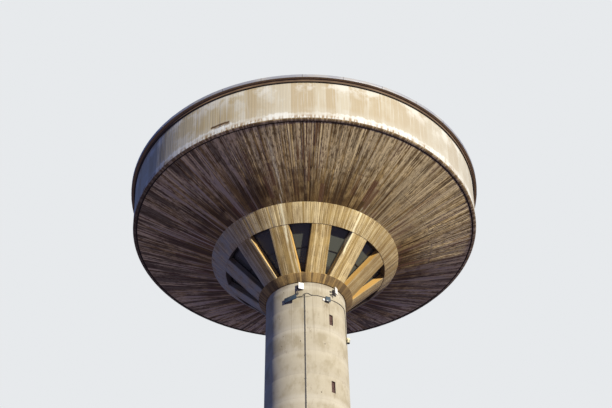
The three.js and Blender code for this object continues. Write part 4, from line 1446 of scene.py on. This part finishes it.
foot_inner, foot, kerb_foot, kerb_top, edge_top, under_middle, top_middle, top_edge = (
    section_points("roof_slab")
)
outline = [under_middle, foot_inner, foot, edge_top, kerb_top, kerb_foot, top_edge, top_middle]
azimuths = even_turns(ROOF_SEGMENTS)
turned_piece("felt_roof", outline, azimuths, roof_felt, "roof_slab", weld=True)

hem_inner, hem, under_inner, under, top_inner, top = section_points("roof_flashing")
outline = softened([hem_inner, hem, top, top_inner, under_inner, under], [0, 0.006, 0.008, 0, 0, 0])
azimuths, relief = seamed_turns(SHEET_SEAMS, hem[0], seed=7)
shown = np.array([0] + [1] * (2 * rounded) + [0, 0, 0])
turned_piece("sheet_edge", outline, azimuths, sheet_metal, "roof_flashing", relief * shown)

# %% [markdown]
# Each lift of the shaft sat a millimetre or two off the one below, with a thin groove between
# them. The slit windows, the doorway and the open tie holes are then cut through the finished
# wall, so their sides are real.

# %% Shaft rings
SHAFT_SEGMENTS = 288
LIFT_GROOVE = 0.0015
LIFT_GROOVE_HALF = 0.008
LIFT_PLAY = 0.0015


def shaft_outline():
    """The wall's section with a groove at each lift line, and how far each corner stands out."""
    dice = random.Random(9)
    outline = [(shaft_bore, 0.0), (shaft_radius, 0.0)]
    relief = [0.0, 0.0]
    first = LIFT_LINE - LIFT_PITCH * floor((LIFT_LINE - 0.4) / LIFT_PITCH)
    play = dice.uniform(-LIFT_PLAY, LIFT_PLAY)
    height = first
    while height < shaft_top - 0.2:
        heights = [height - LIFT_GROOVE_HALF, height, height + LIFT_GROOVE_HALF]
        outline += [(shaft_radius, value) for value in heights]
        relief += [play, -LIFT_GROOVE]
        play = dice.uniform(-LIFT_PLAY, LIFT_PLAY)
        relief.append(play)
        height += LIFT_PITCH
    outline += [(shaft_radius, shaft_top), (shaft_bore, shaft_top)]
    return outline, np.array([*relief, 0.0, 0.0])


print("shaft section", len(shaft_outline()[0]), "corners")

# %% Cutters for the openings
SLIT_AZIMUTH = radians(37)
SLIT_WIDTH = 0.235
SLIT_HEIGHT = 0.65
SLIT_TOP_CENTRE = 28.655
SLIT_PITCH = 4.0
SLIT_COUNT = 7
DOOR_AZIMUTH = radians(197)
HOLE_RADIUS = 0.030
HOLE_DEPTH = 0.08
HOLES_PER_LIFT = 6
SEEN_HOLES = [
    (-33.0, 27.60), (-35.9, 27.04), (25.9, 27.05), (-39.0, 28.77), (18.8, 24.20), (-7.7, 27.11),
    (-32.5, 30.42), (57.6, 30.49),
]
SEEN_BAND = (23.6, 30.83)
PAST_WALL = 0.2


def tie_holes():
    """Azimuth and height of every open tie hole: those in view, and random ones elsewhere."""
    dice = random.Random(17)
    holes = [(radians(azimuth), height) for azimuth, height in SEEN_HOLES]
    height = LIFT_LINE - LIFT_PITCH / 2
    while height > 1:
        for k in range(HOLES_PER_LIFT):
            azimuth = 2 * pi * (k + dice.uniform(0.2, 0.8)) / HOLES_PER_LIFT
            in_view = cos(azimuth) > 0.2 and SEEN_BAND[0] < height < SEEN_BAND[1]
            near_slit = abs(azimuth - SLIT_AZIMUTH) < 0.15
            near_door = abs(azimuth - DOOR_AZIMUTH) < 0.35 and height < 3
            if not (in_view or near_slit or near_door):
                holes.append((azimuth, height + dice.uniform(-0.3, 0.3)))
        height -= LIFT_PITCH
    return holes


def make_cutter():
    """One mesh with a block for each slit and the doorway and a peg for each tie hole."""
    cuts = Fitting()
    outside, inside = -shaft_radius - PAST_WALL, PAST_WALL - shaft_bore
    half = SLIT_WIDTH / 2
    for k in range(SLIT_COUNT):
        low = SLIT_TOP_CENTRE - k * SLIT_PITCH - SLIT_HEIGHT / 2
        corners = (-half, outside, low), (half, inside, low + SLIT_HEIGHT)
        cuts.box(*corners, edge=0, turn=wall_frame(SLIT_AZIMUTH))
    low, high = local_box("door_frame", DOOR_AZIMUTH)
    corners = (low.x - 0.001, outside, low.z), (high.x + 0.001, inside, high.z + 0.001)
    cuts.box(*corners, edge=0, turn=wall_frame(DOOR_AZIMUTH))
    for azimuth, height in tie_holes():
        outer = polar(-outside, azimuth, height)
        inner = polar(shaft_radius - HOLE_DEPTH, azimuth, height)
        cuts.rod(outer, inner, HOLE_RADIUS, sides=10)
    mesh = bpy.data.meshes.new("cutter")
    cuts.work.to_mesh(mesh)
    cuts.work.free()
    return add_object("cutter", mesh)


def local_box(node, azimuth):
    """Lowest and highest corner of a CAD node in the wall's own directions at an azimuth."""
    points = cad_points(node, wall_frame(azimuth))
    return Vector(points.min(axis=0)), Vector(points.max(axis=0))


print("tie holes", len(tie_holes()), "slits", SLIT_COUNT)

# %% Cut and hand over the shaft
def cut_mesh(mesh, cutter):
    """The mesh with the cutter's solids taken out."""
    whole = add_object("whole", mesh)
    taken = whole.modifiers.new("cut", "BOOLEAN")
    taken.operation = "DIFFERENCE"
    taken.solver = "EXACT"
    taken.object = cutter
    result = bpy.data.meshes.new_from_object(whole.evaluated_get(bpy.context.evaluated_depsgraph_get()))
    bpy.data.objects.remove(whole)
    bpy.data.objects.remove(cutter)
    return result


outline, relief = shaft_outline()
plain = closed_mesh("shaft_plain", *turned(outline, even_turns(SHAFT_SEGMENTS), relief))
cut = cut_mesh(plain, make_cutter())
cut.materials.clear()
cut.name = "shaft"
work = bmesh.new()
work.from_mesh(cut)
finish_mesh(work, cut)
hand_over(cut, [shaft_concrete], [f"shaft_wall_{k}" for k in range(1, 10)])

# %% Floors inside
for name in ("foot_slab", "neck_floor", "tank_floor"):
    floor_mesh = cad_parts[name].data
    floor_mesh.materials.clear()
    floor_mesh.materials.append(shaft_concrete)
    print(name, "shows its own solid in", shaft_concrete.name)

# %% [markdown]
# The slits have no glass. A steel shutter stands in each, a hand's depth behind the wall's face,
# with two pressed ribs to stiffen it, a flat bar across its middle and a hinge pin down one side.
# Its old red-brown paint is why the slits look brown in the sun, and not black.

# %% Shutters in the slits
SHUTTER_SETBACK = 0.085
SHUTTER_THICKNESS = 0.006
SHUTTER_FRAME = 0.018
SHUTTER_RIB = 0.014

shutters = Fitting()
half, face = SLIT_WIDTH / 2, SHUTTER_SETBACK - shaft_radius
proud = face - SHUTTER_RIB
back = face + SHUTTER_THICKNESS
inner = half - SHUTTER_FRAME
for k in range(SLIT_COUNT):
    turn = wall_frame(SLIT_AZIMUTH, height=SLIT_TOP_CENTRE - k * SLIT_PITCH)
    low, high = -SLIT_HEIGHT / 2, SLIT_HEIGHT / 2
    shutters.box((-half, face, low), (half, back, high), 0, 0, turn)
    for side in (-1, 1):
        left, right = sorted((side * half, side * inner))
        shutters.box((left, proud, low), (right, back, high), 0.002, 0, turn)
        middle = side * inner / 2
        shutters.box((middle - 0.012, face - 0.006, low), (middle + 0.012, back, high), 0.003, 0, turn)
        foot, head = sorted((side * high, side * (high - SHUTTER_FRAME)))
        shutters.box((-inner, proud, foot), (inner, back, head), 0.002, 0, turn)
    shutters.box((-inner, proud, -0.015), (inner, back, 0.015), 0.002, 0, turn)
    pin = Vector((-inner + 0.006, proud, low + 0.03))
    shutters.rod(pin, pin + (SLIT_HEIGHT - 0.06) * UP, 0.006, sides=8, turn=turn)
shutters.hand_over("slit_shutters", [shutter_paint], "window_frame")

# %% [markdown]
# A rib has parallel sides and follows the neck's slope, so its face is slightly round across, and
# its boards run along it. Its section is drawn once, as offsets from its middle plane and depths
# behind the neck's face, then carried up the slope in a few steps.

# %% Ribs
RIB_HALF_WIDTH = 0.54
RIB_FRONT = 0.02
RIB_BACK = 0.34
RIB_GROOVE = 0.005
RIB_JOINT_HALF = 0.005
RIB_EDGE = 0.010
RIB_STATIONS = 9
RIB_SIDE_BOARDS = 3


def board_edges(start, end, count, dice):
    """Places along a face of several boards, each with its own small step, and the joints between."""
    pitch = (end - start) / count
    half = copysign(RIB_JOINT_HALF, pitch)
    places = []
    for k in range(count):
        step = dice.uniform(-BOARD_PLAY, BOARD_PLAY)
        if k:
            places.append((start + k * pitch + half, step))
        if k < count - 1:
            places += [(start + (k + 1) * pitch - half, step), (start + (k + 1) * pitch, -RIB_GROOVE)]
    return places


def rib_section(seed):
    """Corners of a rib as (offset from its middle plane, depth behind the neck's face)."""
    dice = random.Random(seed)
    low, high = -RIB_HALF_WIDTH, RIB_HALF_WIDTH
    corner = softened([(low, RIB_FRONT), (high, RIB_FRONT), (high, RIB_BACK), (low, RIB_BACK)],
                      [RIB_EDGE, RIB_EDGE, 0, 0])
    left_corner, right_corner = corner[:rounded], corner[rounded:2 * rounded]
    count = round((high - low) / RIB_BOARD_WIDTH)
    front = [(w, RIB_FRONT - step) for w, step in board_edges(low, high, count, dice)]
    right = [(high + step, d) for d, step in board_edges(RIB_FRONT, RIB_BACK, RIB_SIDE_BOARDS, dice)]
    left = [(low - step, d) for d, step in board_edges(RIB_BACK, RIB_FRONT, RIB_SIDE_BOARDS, dice)]
    return [*left_corner, *front, *right_corner, *right, (high, RIB_BACK), (low, RIB_BACK), *left]


def make_rib(number, azimuth):
    section = rib_section(100 + number)
    stations = np.linspace(collar_radius, ring_low_radius, RIB_STATIONS).tolist()
    vertices = []
    for surface_radius in stations:
        for offset, depth in section:
            point = on_neck(surface_radius, depth)
            turn = azimuth + asin(offset / point.x)
            vertices.append(polar(point.x, turn, point.y))
    faces = grid_faces(RIB_STATIONS, len(section), closed_rows=False)
    last = (RIB_STATIONS - 1) * len(section)
    faces.append(list(range(len(section))))
    faces.append([last + k for k in range(len(section))])
    mesh = closed_mesh(f"tan_rib_{number:02d}", vertices, faces)
    hand_over(mesh, [rib_concrete], [f"rib_{number:02d}"])


for rib in range(RIB_COUNT):
    make_rib(rib + 1, radians(rib_azimuth + rib * 360 / RIB_COUNT))

# %% [markdown]
# Each bay between two ribs has one flat steel window: a plain panel at the bottom, two panes with
# a thin transom between them, and a head under the ring beam. It tapers downwards, because the
# ribs' parallel sides close in on it. A bay's own directions are X across, Y up the slope and Z
# out of the face.

# %% Windows between the ribs
SILL_RADIUS = 2.96
TRANSOM_RADIUS = 3.56
PANE_HEAD_RADIUS = 4.48
STEEL_FRONT = 0.34
STEEL_BACK = 0.40
STILE_FACE = 0.045
STILE_TUCK = 0.035
TRANSOM_FACE = 0.045
PANE_DEPTH = 0.388
PANE_THICKNESS = 0.012
PANE_TUCK = 0.012
STEEL_EDGE = 0.004


def bay_frame(azimuth):
    """A bay's own directions, with the origin on the neck's face above the collar."""
    foot = on_neck(collar_radius)
    across = Vector((cos(azimuth), sin(azimuth), 0))
    uphill = polar(neck_slope.x, azimuth, neck_slope.y)
    turn = axes(across, uphill, across.cross(uphill))
    return Matrix.Translation(polar(foot.x, azimuth, foot.y)) @ turn


def up_slope(surface_radius):
    return (surface_radius - collar_radius) / neck_slope.x


def bay_half_width(uphill):
    """Half the gap between two ribs, that far up the slope, at the window's depth."""
    distance = on_neck(collar_radius + uphill * neck_slope.x, STEEL_FRONT).x
    half_bay = pi / RIB_COUNT
    return distance * tan(half_bay) - RIB_HALF_WIDTH / cos(half_bay)


def add_plate(target, ends, low_half, high_half, front, back, edge, turn):
    """A flat plate that tapers from one half width to another, between two depths behind the neck."""
    low, high = ends
    corners = [(-low_half, low), (low_half, low), (high_half, high), (-high_half, high)]
    add_slab(target, corners, front, back, edge, turn)


def add_slab(target, corners, front, back, edge, turn):
    """A flat slab with the given corners, between two depths behind the neck's face."""
    part = bmesh.new()
    near = [part.verts.new((x, y, -front)) for x, y in corners]
    far = [part.verts.new((x, y, -back)) for x, y in corners]
    part.faces.new(near)
    part.faces.new(far[::-1])
    for k in range(len(corners)):
        part.faces.new((near[k], far[k], far[(k + 1) % len(corners)], near[(k + 1) % len(corners)]))
    bmesh.ops.recalc_face_normals(part, faces=part.faces)
    target.take(part, turn, edge, 0)


def make_window(steel, panes, azimuth):
    turn = bay_frame(azimuth)
    foot, sill, transom = 0.0, up_slope(SILL_RADIUS), up_slope(TRANSOM_RADIUS)
    head, top = up_slope(PANE_HEAD_RADIUS), up_slope(ring_low_radius)

    def reach(uphill):
        return bay_half_width(uphill) + STILE_TUCK

    def bar(low, high, front=STEEL_FRONT):
        add_plate(steel, (low, high), reach(low), reach(high), front, STEEL_BACK, STEEL_EDGE, turn)

    bar(foot, sill)
    bar(transom - TRANSOM_FACE / 2, transom + TRANSOM_FACE / 2, STEEL_FRONT + 0.006)
    bar(head, top)
    for side in (-1, 1):
        inner = [side * (bay_half_width(y) - STILE_FACE) for y in (sill, head)]
        outer = [side * reach(y) for y in (sill, head)]
        corners = [(inner[0], sill), (outer[0], sill), (outer[1], head), (inner[1], head)]
        add_slab(steel, corners, STEEL_FRONT + 0.002, STEEL_BACK, STEEL_EDGE, turn)
    for low, high in (sill, transom - TRANSOM_FACE / 2), (transom + TRANSOM_FACE / 2, head):
        ends = (low - PANE_TUCK, high + PANE_TUCK)
        halves = [bay_half_width(y) - STILE_FACE + PANE_TUCK for y in ends]
        add_plate(panes, ends, *halves, PANE_DEPTH, PANE_DEPTH + PANE_THICKNESS, 0, turn)


steel, panes = Fitting(), Fitting()
for bay in range(RIB_COUNT):
    make_window(steel, panes, radians(rib_azimuth + (bay + 0.5) * 360 / RIB_COUNT))
steel.hand_over("bay_windows", [window_steel], "window_frame", ["neck_window_frame"])
panes.hand_over("bay_panes", [dusty_glass], "window_glass", ["neck_glazing"])

# %% [markdown]
# The fittings near the shaft's head are small in the picture, but they tell how large the tower
# is, so each has its working parts: floodlights with fins and a glass front, aerial panels clamped
# to short masts, and a lamp on an arm. Each takes its extents from its own CAD solid.

# %% Floodlights
LEFT_LIGHT = {"wall": -20.2, "facing": -35.7, "depth": 0.05}
RIGHT_LIGHT = {"wall": 31.0, "facing": 23.0, "depth": 0.08}
LIGHT_ARM_HEIGHT = 29.76
PLATE = 0.012
FIN_THICKNESS = 0.006
FIN_PITCH = 0.028
BOLT_RADIUS = 0.009
BOLT_HEIGHT = 0.010
FRONT_TOLERANCE = 0.001


def front_face(node, azimuth):
    """The corners of a node's front face, in the frame that faces an azimuth."""
    points = cad_points(node, wall_frame(azimuth))
    front = points[points[:, 1] < points[:, 1].min() + FRONT_TOLERANCE]
    return Vector(front.min(axis=0)), Vector(front.max(axis=0))


def add_wall_plate(fitting, height, half, material, turn=Matrix()):
    """A square plate on the wall with a bolt near each corner."""
    front, back = -shaft_radius - PLATE, -shaft_radius + PLATE
    fitting.box((-half, front, height - half), (half, back, height + half), 0.002, material, turn)
    for x in (-1, 1):
        for z in (-1, 1):
            foot = Vector((x * half * 0.7, front, height + z * half * 0.7))
            head = foot - Vector((0, BOLT_HEIGHT, 0))
            fitting.rod(foot, head, BOLT_RADIUS, material, 0.001, sides=6, turn=turn)


def make_floodlight(node, name, wall, facing, depth):
    """A flat housing with a glass front and fins behind, on one arm from the wall."""
    wall, facing = radians(wall), radians(facing)
    low, high = front_face(node, facing)
    light = Fitting(wall_frame(facing))
    housing, steel, glass = 0, 1, 2
    front, back = low.y, low.y + depth
    light.box((low.x, front + 0.006, low.z), (high.x, back - 0.014, high.z - 0.006), 0.006, housing)
    light.box((low.x - 0.003, front, low.z - 0.003), (high.x + 0.003, front + 0.014, high.z), 0.003, housing)
    pane_low = (low.x + 0.022, front - 0.002, low.z + 0.022)
    light.box(pane_low, (high.x - 0.022, front + 0.004, high.z - 0.024), 0.002, glass)
    count = floor((high.x - low.x - 0.06) / FIN_PITCH)
    for k in range(count + 1):
        x = low.x + 0.03 + k * FIN_PITCH
        light.box((x, back - 0.016, low.z + 0.014), (x + FIN_THICKNESS, back, high.z - 0.020), 0.001, housing)
    to_wall = light.place.inverted() @ wall_frame(wall)
    middle = Vector(((low.x + high.x) / 2, front + depth / 2))
    arm = LIGHT_ARM_HEIGHT
    add_wall_plate(light, arm, 0.055, steel, to_wall)
    arm_low = (-0.02, depth / 2 - middle.length, arm - 0.02)
    light.box(arm_low, (0.02, -shaft_radius, arm + 0.02), 0.003, steel, to_wall)
    to_middle = Matrix.Translation((middle.x, 0, 0))
    saddle_high = (0.06, back + 0.006, arm + 0.035)
    light.box((-0.06, back - 0.016, arm - 0.035), saddle_high, 0.003, steel, to_middle)
    light.hand_over(name, [housing_paint, fitting_steel, lens_glass], "light_housing", [node])
    print("front face", [round(value, 3) for value in (*low, *high)])


make_floodlight("floodlight_left", "left_floodlight", **LEFT_LIGHT)
make_floodlight("floodlight_right", "right_floodlight", **RIGHT_LIGHT)

# %% Aerial panels on their masts
LEFT_AERIAL = {"wall": -11.2, "facing": 21.2, "mast": (2.300, -11.0), "arms": (30.09, 30.42)}
RIGHT_AERIAL = {"wall": 37.3, "facing": 63.4, "mast": (2.405, 40.6), "arms": (30.30, 30.49)}
AERIAL_THICKNESS = 0.05
MAST_RADIUS = 0.024
MAST_DROP = 0.14
MAST_HEIGHT = 0.54
ARM_RADIUS = 0.019


def make_aerial(node, name, wall, facing, mast, arms):
    """A panel beside a short mast, and the mast on two arms from the wall."""
    wall, facing = radians(wall), radians(facing)
    low, high = front_face(node, facing)
    aerial = Fitting(wall_frame(facing))
    shell, steel, cable = 0, 1, 2
    back = aerial.place.inverted()
    distance, azimuth = mast
    foot = back @ polar(distance, radians(azimuth), arms[0] - MAST_DROP)
    aerial.rod(foot, foot + MAST_HEIGHT * UP, MAST_RADIUS, steel, 0.003)
    aerial.box(low, (high.x, low.y + AERIAL_THICKNESS, high.z), 0.014, shell)
    to_wall = back @ wall_frame(wall)
    for height in arms:
        start = back @ polar(shaft_radius - PLATE, wall, height)
        end = Vector((foot.x, foot.y, height))
        aerial.rod(start, end, ARM_RADIUS, steel, 0.002)
        half_clamp = 0.028 * UP
        aerial.rod(end - half_clamp, end + half_clamp, MAST_RADIUS + 0.010, steel, 0.003)
        add_wall_plate(aerial, height, 0.05, steel, to_wall)
    behind = low.y + AERIAL_THICKNESS
    middle = Vector(((low.x + high.x) / 2, behind, (low.z + high.z) / 2))
    aerial.rod((foot.x, foot.y, middle.z), middle, ARM_RADIUS, steel, 0.002)
    aerial.box(middle - Vector((0.05, 0.004, 0.07)), middle + Vector((0.05, 0.012, 0.07)), 0.003, steel)
    sockets = [Vector((middle.x + side, low.y + AERIAL_THICKNESS / 2, low.z)) for side in (-0.035, 0.035)]
    for socket in sockets:
        aerial.rod(socket, socket - 0.03 * UP, 0.009, steel, sides=10)
    start = sockets[0] - 0.025 * UP
    end = back @ polar(shaft_radius + 0.008, wall, arms[0] - 0.10)
    bend = [start, start - 0.06 * UP, (start + end) / 2 - 0.03 * UP, end]
    aerial.bent_rod(smooth_route(bend, 6), 0.006, cable)
    aerial.hand_over(name, [aerial_plastic, fitting_steel, cable_rubber], "aerial_shell", [node])


def smooth_route(points, steps):
    """More points along a smooth curve through the given ones."""
    route = []
    count = len(points)
    for i in range(count - 1):
        before, start = points[max(i - 1, 0)], points[i]
        end, after = points[i + 1], points[min(i + 2, count - 1)]
        for k in range(steps):
            t = k / steps
            bow = (2 * before - 5 * start + 4 * end - after) * t**2
            twist = (3 * start - before - 3 * end + after) * t**3
            route.append((2 * start + (end - before) * t + bow + twist) / 2)
    return [*route, points[-1]]


make_aerial("aerial_left", "left_aerial", **LEFT_AERIAL)
make_aerial("aerial_right", "right_aerial", **RIGHT_AERIAL)

# %% [markdown]
# A dark conduit runs down the shaft, with a pale strip of sealant along one side, and a thinner
# cable loops over its head and round to the lamp. Clips hold both to the wall, and a white box
# beside the right floodlight covers a joint in the cable.

# %% Conduit
CONDUIT_AZIMUTH = radians(-1.2)
CLIP_PITCH = 1.35

low, high = local_box("down_conductor", CONDUIT_AZIMUTH)
conduit = Fitting(wall_frame(CONDUIT_AZIMUTH))
duct, strip = 0, 1
behind = -shaft_radius + 0.003
conduit.box(low, (high.x, behind, high.z), 0.008, duct)
seal_low = (high.x - 0.001, -shaft_radius - 0.006, low.z + 0.02)
conduit.box(seal_low, (high.x + 0.022, behind, high.z - 0.05), 0.002, strip)
height = low.z + 0.4
while height < high.z:
    foot, head = height - 0.016, height + 0.016
    conduit.box((low.x - 0.012, low.y - 0.003, foot), (high.x + 0.012, behind, head), 0.001, duct)
    height += CLIP_PITCH
conduit.box((low.x - 0.012, low.y - 0.008, high.z - 0.04), (high.x + 0.012, behind, high.z), 0.004, duct)
conduit.hand_over("wall_conduit", [conduit_paint, pale_trim], "cable_sheath", ["down_conductor"])

# %% Cable
CABLE_RADIUS = 0.018
CABLE_ROUTE = [
    (-14, 29.890), (-9, 29.890), (-5.5, 29.895), (-3.6, 29.950), (-2.4, 30.040), (0.2, 30.085), (3.4, 30.085),
    (6.2, 30.015), (9, 29.978), (16.6, 29.990), (25, 29.970), (34, 29.950), (45, 29.975), (56, 30.020),
    (66, 30.035), (71.5, 29.940), (73.6, 29.600), (74, 29.000), (74, 28.275),
]
SECOND_ROUTE = [(-12, 29.86), (-8, 29.85), (-3, 29.86), (1, 29.87), (5, 29.90), (9, 29.955)]
JOINT_BOX_AZIMUTH = radians(25.9)
JOINT_BOX_HEIGHT = 29.81


def wall_route(route, stand_off, steps):
    points = [polar(shaft_radius + stand_off, radians(azimuth), height) for azimuth, height in route]
    return smooth_route(points, steps)


cable = Fitting()
sheath, steel, white = 0, 1, 2
cable.bent_rod(wall_route(CABLE_ROUTE, CABLE_RADIUS - 0.002, 8), CABLE_RADIUS, sheath, sides=10)
cable.bent_rod(wall_route(SECOND_ROUTE, 0.008, 6), 0.009, sheath)
across, upright = (0.012, 0.026), (0.026, 0.012)
clips = [(across, spot) for spot in CABLE_ROUTE[8:14]] + [(upright, spot) for spot in CABLE_ROUTE[16:]]
for (half, tall), (azimuth, height) in clips:
    place = wall_frame(radians(azimuth), shaft_radius, height)
    cable.box((-half, -2 * CABLE_RADIUS - 0.004, -tall), (half, 0.004, tall), 0.003, steel, turn=place)
place = wall_frame(JOINT_BOX_AZIMUTH, shaft_radius, JOINT_BOX_HEIGHT)
cable.box((-0.056, -0.046, -0.064), (0.056, 0.004, 0.064), 0.008, white, turn=place)
cable.box((-0.060, -0.052, -0.068), (0.060, -0.041, 0.068), 0.003, white, turn=place)
materials = [cable_rubber, fitting_steel, aerial_plastic]
cable.hand_over("lights_cable", materials, "cable_sheath", ["light_cable"])

# %% Lamp
LAMP_AZIMUTH = radians(74)
LAMP_STANDOFF = 0.01
LAMP_RADIUS = 0.105
LAMP_FOOT_RADIUS = 0.085
LAMP_SIDES = 28
CAGE_BARS = 6

low, high = local_box("side_lamp", LAMP_AZIMUTH)
lamp = Fitting(wall_frame(LAMP_AZIMUTH))
shell, steel, glass = 0, 1, 2
axis_y = -shaft_radius - LAMP_STANDOFF - LAMP_RADIUS
bottom, top = low.z, high.z
upper = bottom + 0.19


def ring(height):
    return Vector((0, axis_y, height))


wide = LAMP_RADIUS * 0.9
lamp.rod(ring(bottom), ring(upper), LAMP_FOOT_RADIUS * 0.93, glass, 0, LAMP_SIDES, wide)
lamp.rod(ring(upper - 0.002), ring(top - 0.045), LAMP_RADIUS, shell, 0.010, LAMP_SIDES)
lamp.rod(ring(top - 0.046), ring(top), LAMP_RADIUS * 0.78, shell, 0.006, LAMP_SIDES, 0.03)
lamp.rod(ring(bottom), ring(bottom + 0.014), LAMP_FOOT_RADIUS, steel, 0.004, LAMP_SIDES)
for turn in even_turns(CAGE_BARS).tolist():
    out = Vector((cos(turn), sin(turn), 0))
    foot = ring(bottom + 0.012) + out * (LAMP_FOOT_RADIUS - 0.005)
    head = ring(upper) + out * (LAMP_RADIUS - 0.006)
    lamp.rod(foot, head, 0.005, steel, sides=8)
arm = (bottom + top) / 2 + 0.055
arm_low = (-0.025, axis_y + LAMP_RADIUS * 0.8, arm - 0.025)
lamp.box(arm_low, (0.025, -shaft_radius, arm + 0.025), 0.005, steel)
add_wall_plate(lamp, arm, 0.055, steel)
lamp.hand_over("wall_lamp", [lamp_plastic, fitting_steel, lamp_glass], "lamp_shell", ["side_lamp"])

# %% [markdown]
# The door at the foot is plain sheet steel: a flush leaf with a raised edge, a kick plate, three
# hinges and a lever handle, shut in a folded steel frame.

# %% Door frame
low, high = local_box("door_frame", DOOR_AZIMUTH)
leaf_low, leaf_high = local_box("door_leaf", DOOR_AZIMUTH)
surround = Fitting(wall_frame(DOOR_AZIMUTH))
surround.box(low, (leaf_low.x - 0.001, high.y, high.z))
surround.box((leaf_high.x + 0.001, low.y, low.z), high)
head_low = (leaf_low.x - 0.006, low.y + 0.001, leaf_high.z + 0.001)
surround.box(head_low, (leaf_high.x + 0.006, high.y - 0.001, high.z))
surround.hand_over("door_surround", [door_paint], "door_paint", ["door_frame"])

# %% Door leaf
RAILS = [(0.0, 0.0, 1.0, 0.035), (0.0, 0.965, 1.0, 1.0), (0.0, 0.0, 0.07, 1.0), (0.93, 0.0, 1.0, 1.0)]
HINGE_HEIGHTS = (0.25, 1.05, 1.85)
LOCK_HEIGHT = 1.05

door = Fitting(wall_frame(DOOR_AZIMUTH))
paint, steel = 0, 1
face = leaf_low.y
door.box(leaf_low, leaf_high, 0.003, paint)
for x_low, z_low, x_high, z_high in RAILS:
    wide, tall = leaf_high.x - leaf_low.x, leaf_high.z - leaf_low.z
    corner = (leaf_low.x + x_low * wide, face - 0.006, leaf_low.z + z_low * tall)
    other = (leaf_low.x + x_high * wide, face + 0.002, leaf_low.z + z_high * tall)
    door.box(corner, other, 0.002, paint)
kick_low = (leaf_low.x + 0.08, face - 0.003, leaf_low.z + 0.08)
door.box(kick_low, (leaf_high.x - 0.08, face + 0.001, leaf_low.z + 0.30), 0.001, steel)
for height in HINGE_HEIGHTS:
    middle = Vector((leaf_low.x + 0.002, face - 0.012, leaf_low.z + height))
    door.rod(middle - 0.06 * UP, middle + 0.06 * UP, 0.011, steel, 0.002)
lock = leaf_low.z + LOCK_HEIGHT
edge = leaf_high.x
lock_low = (edge - 0.085, face - 0.014, lock - 0.11)
door.box(lock_low, (edge - 0.035, face - 0.004, lock + 0.09), 0.003, steel)
spindle = Vector((edge - 0.06, face - 0.012, lock + 0.03))
door.rod(spindle, spindle - Vector((0, 0.045, 0)), 0.010, steel)
lever = spindle - Vector((0, 0.040, 0))
door.rod(lever + Vector((0.008, 0, 0)), lever - Vector((0.12, 0, 0)), 0.009, steel, 0.002)
keyhole = Vector((edge - 0.06, face - 0.018, lock - 0.06))
door.rod(keyhole, keyhole + Vector((0, 0.008, 0)), 0.012, steel)
door.hand_over("door_panel", [door_paint, fitting_steel], "door_paint", ["door_leaf"])

# %% [markdown]
# The roof can't be seen from the ground, so its vent and hatch stay simple: a mushroom cap on a
# short stem, and a sheet metal box with a hinged lid, a handle and a hasp.

# %% Roof vent
VENT_SLOTS = 14
VENT_SIDES = 48

foot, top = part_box("roof_vent")[0].z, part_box("roof_vent")[1].z
stem = section_points("roof_vent")[1][0]
wide, low = widest("roof_vent")
corners = [(0.0, low), (wide, low), (wide, low + 0.025), (stem, top - 0.01), (0.0, top)]
outline = softened(corners, [0, 0.008, 0.010, 0.05, 0])
azimuths = even_turns(VENT_SIDES)
turned_piece("vent_cap", outline, azimuths, sheet_metal, "roof_vent", weld=True)
neck = Fitting()
neck.rod((0, 0, foot), (0, 0, low + 0.01), stem, sides=VENT_SIDES)
neck.rod((0, 0, foot), (0, 0, foot + 0.05), stem + 0.05, 0, 0.003, VENT_SIDES, stem + 0.012)
for azimuth in even_turns(VENT_SLOTS).tolist():
    turn = wall_frame(azimuth, height=low)
    neck.box((-0.03, -stem - 0.004, -0.12), (0.03, -stem + 0.01, -0.03), 0.003, 1, turn=turn)
neck.hand_over("vent_neck", [sheet_metal, fitting_steel], "roof_sheet")

# %% Roof hatch
HATCH_AZIMUTH = radians(160)
LID_HEIGHT = 0.07
LID_OVERHANG = 0.05

low, high = local_box("roof_hatch", HATCH_AZIMUTH)
lid_foot = high.z - LID_HEIGHT
hatch = Fitting(wall_frame(HATCH_AZIMUTH))
sheet, steel = 0, 1
curb_low = (low.x + LID_OVERHANG, low.y + LID_OVERHANG, low.z)
hatch.box(curb_low, (high.x - LID_OVERHANG, high.y - LID_OVERHANG, lid_foot + 0.01), 0.006, sheet)
hatch.box((low.x, low.y, lid_foot), high, 0.010, sheet)
for k in (-0.3, 0.3):
    hinge = Vector((k, high.y - 0.006, lid_foot - 0.004))
    half = Vector((0.07, 0, 0))
    hatch.rod(hinge - half, hinge + half, 0.014, steel, 0.002)
hasp_low = (-0.03, low.y - 0.006, lid_foot - 0.09)
hatch.box(hasp_low, (0.03, low.y + LID_OVERHANG, lid_foot + 0.02), 0.003, steel)
bends = [(-0.12, -0.004), (-0.12, 0.028), (0.12, 0.028), (0.12, -0.004)]
handle = [(x, low.y + 0.12, high.z + z) for x, z in bends]
for start, end in zip(handle, handle[1:]):
    hatch.rod(start, end, 0.009, steel, sides=10)
hatch.hand_over("hatch", [sheet_metal, fitting_steel], "roof_sheet", ["roof_hatch"])
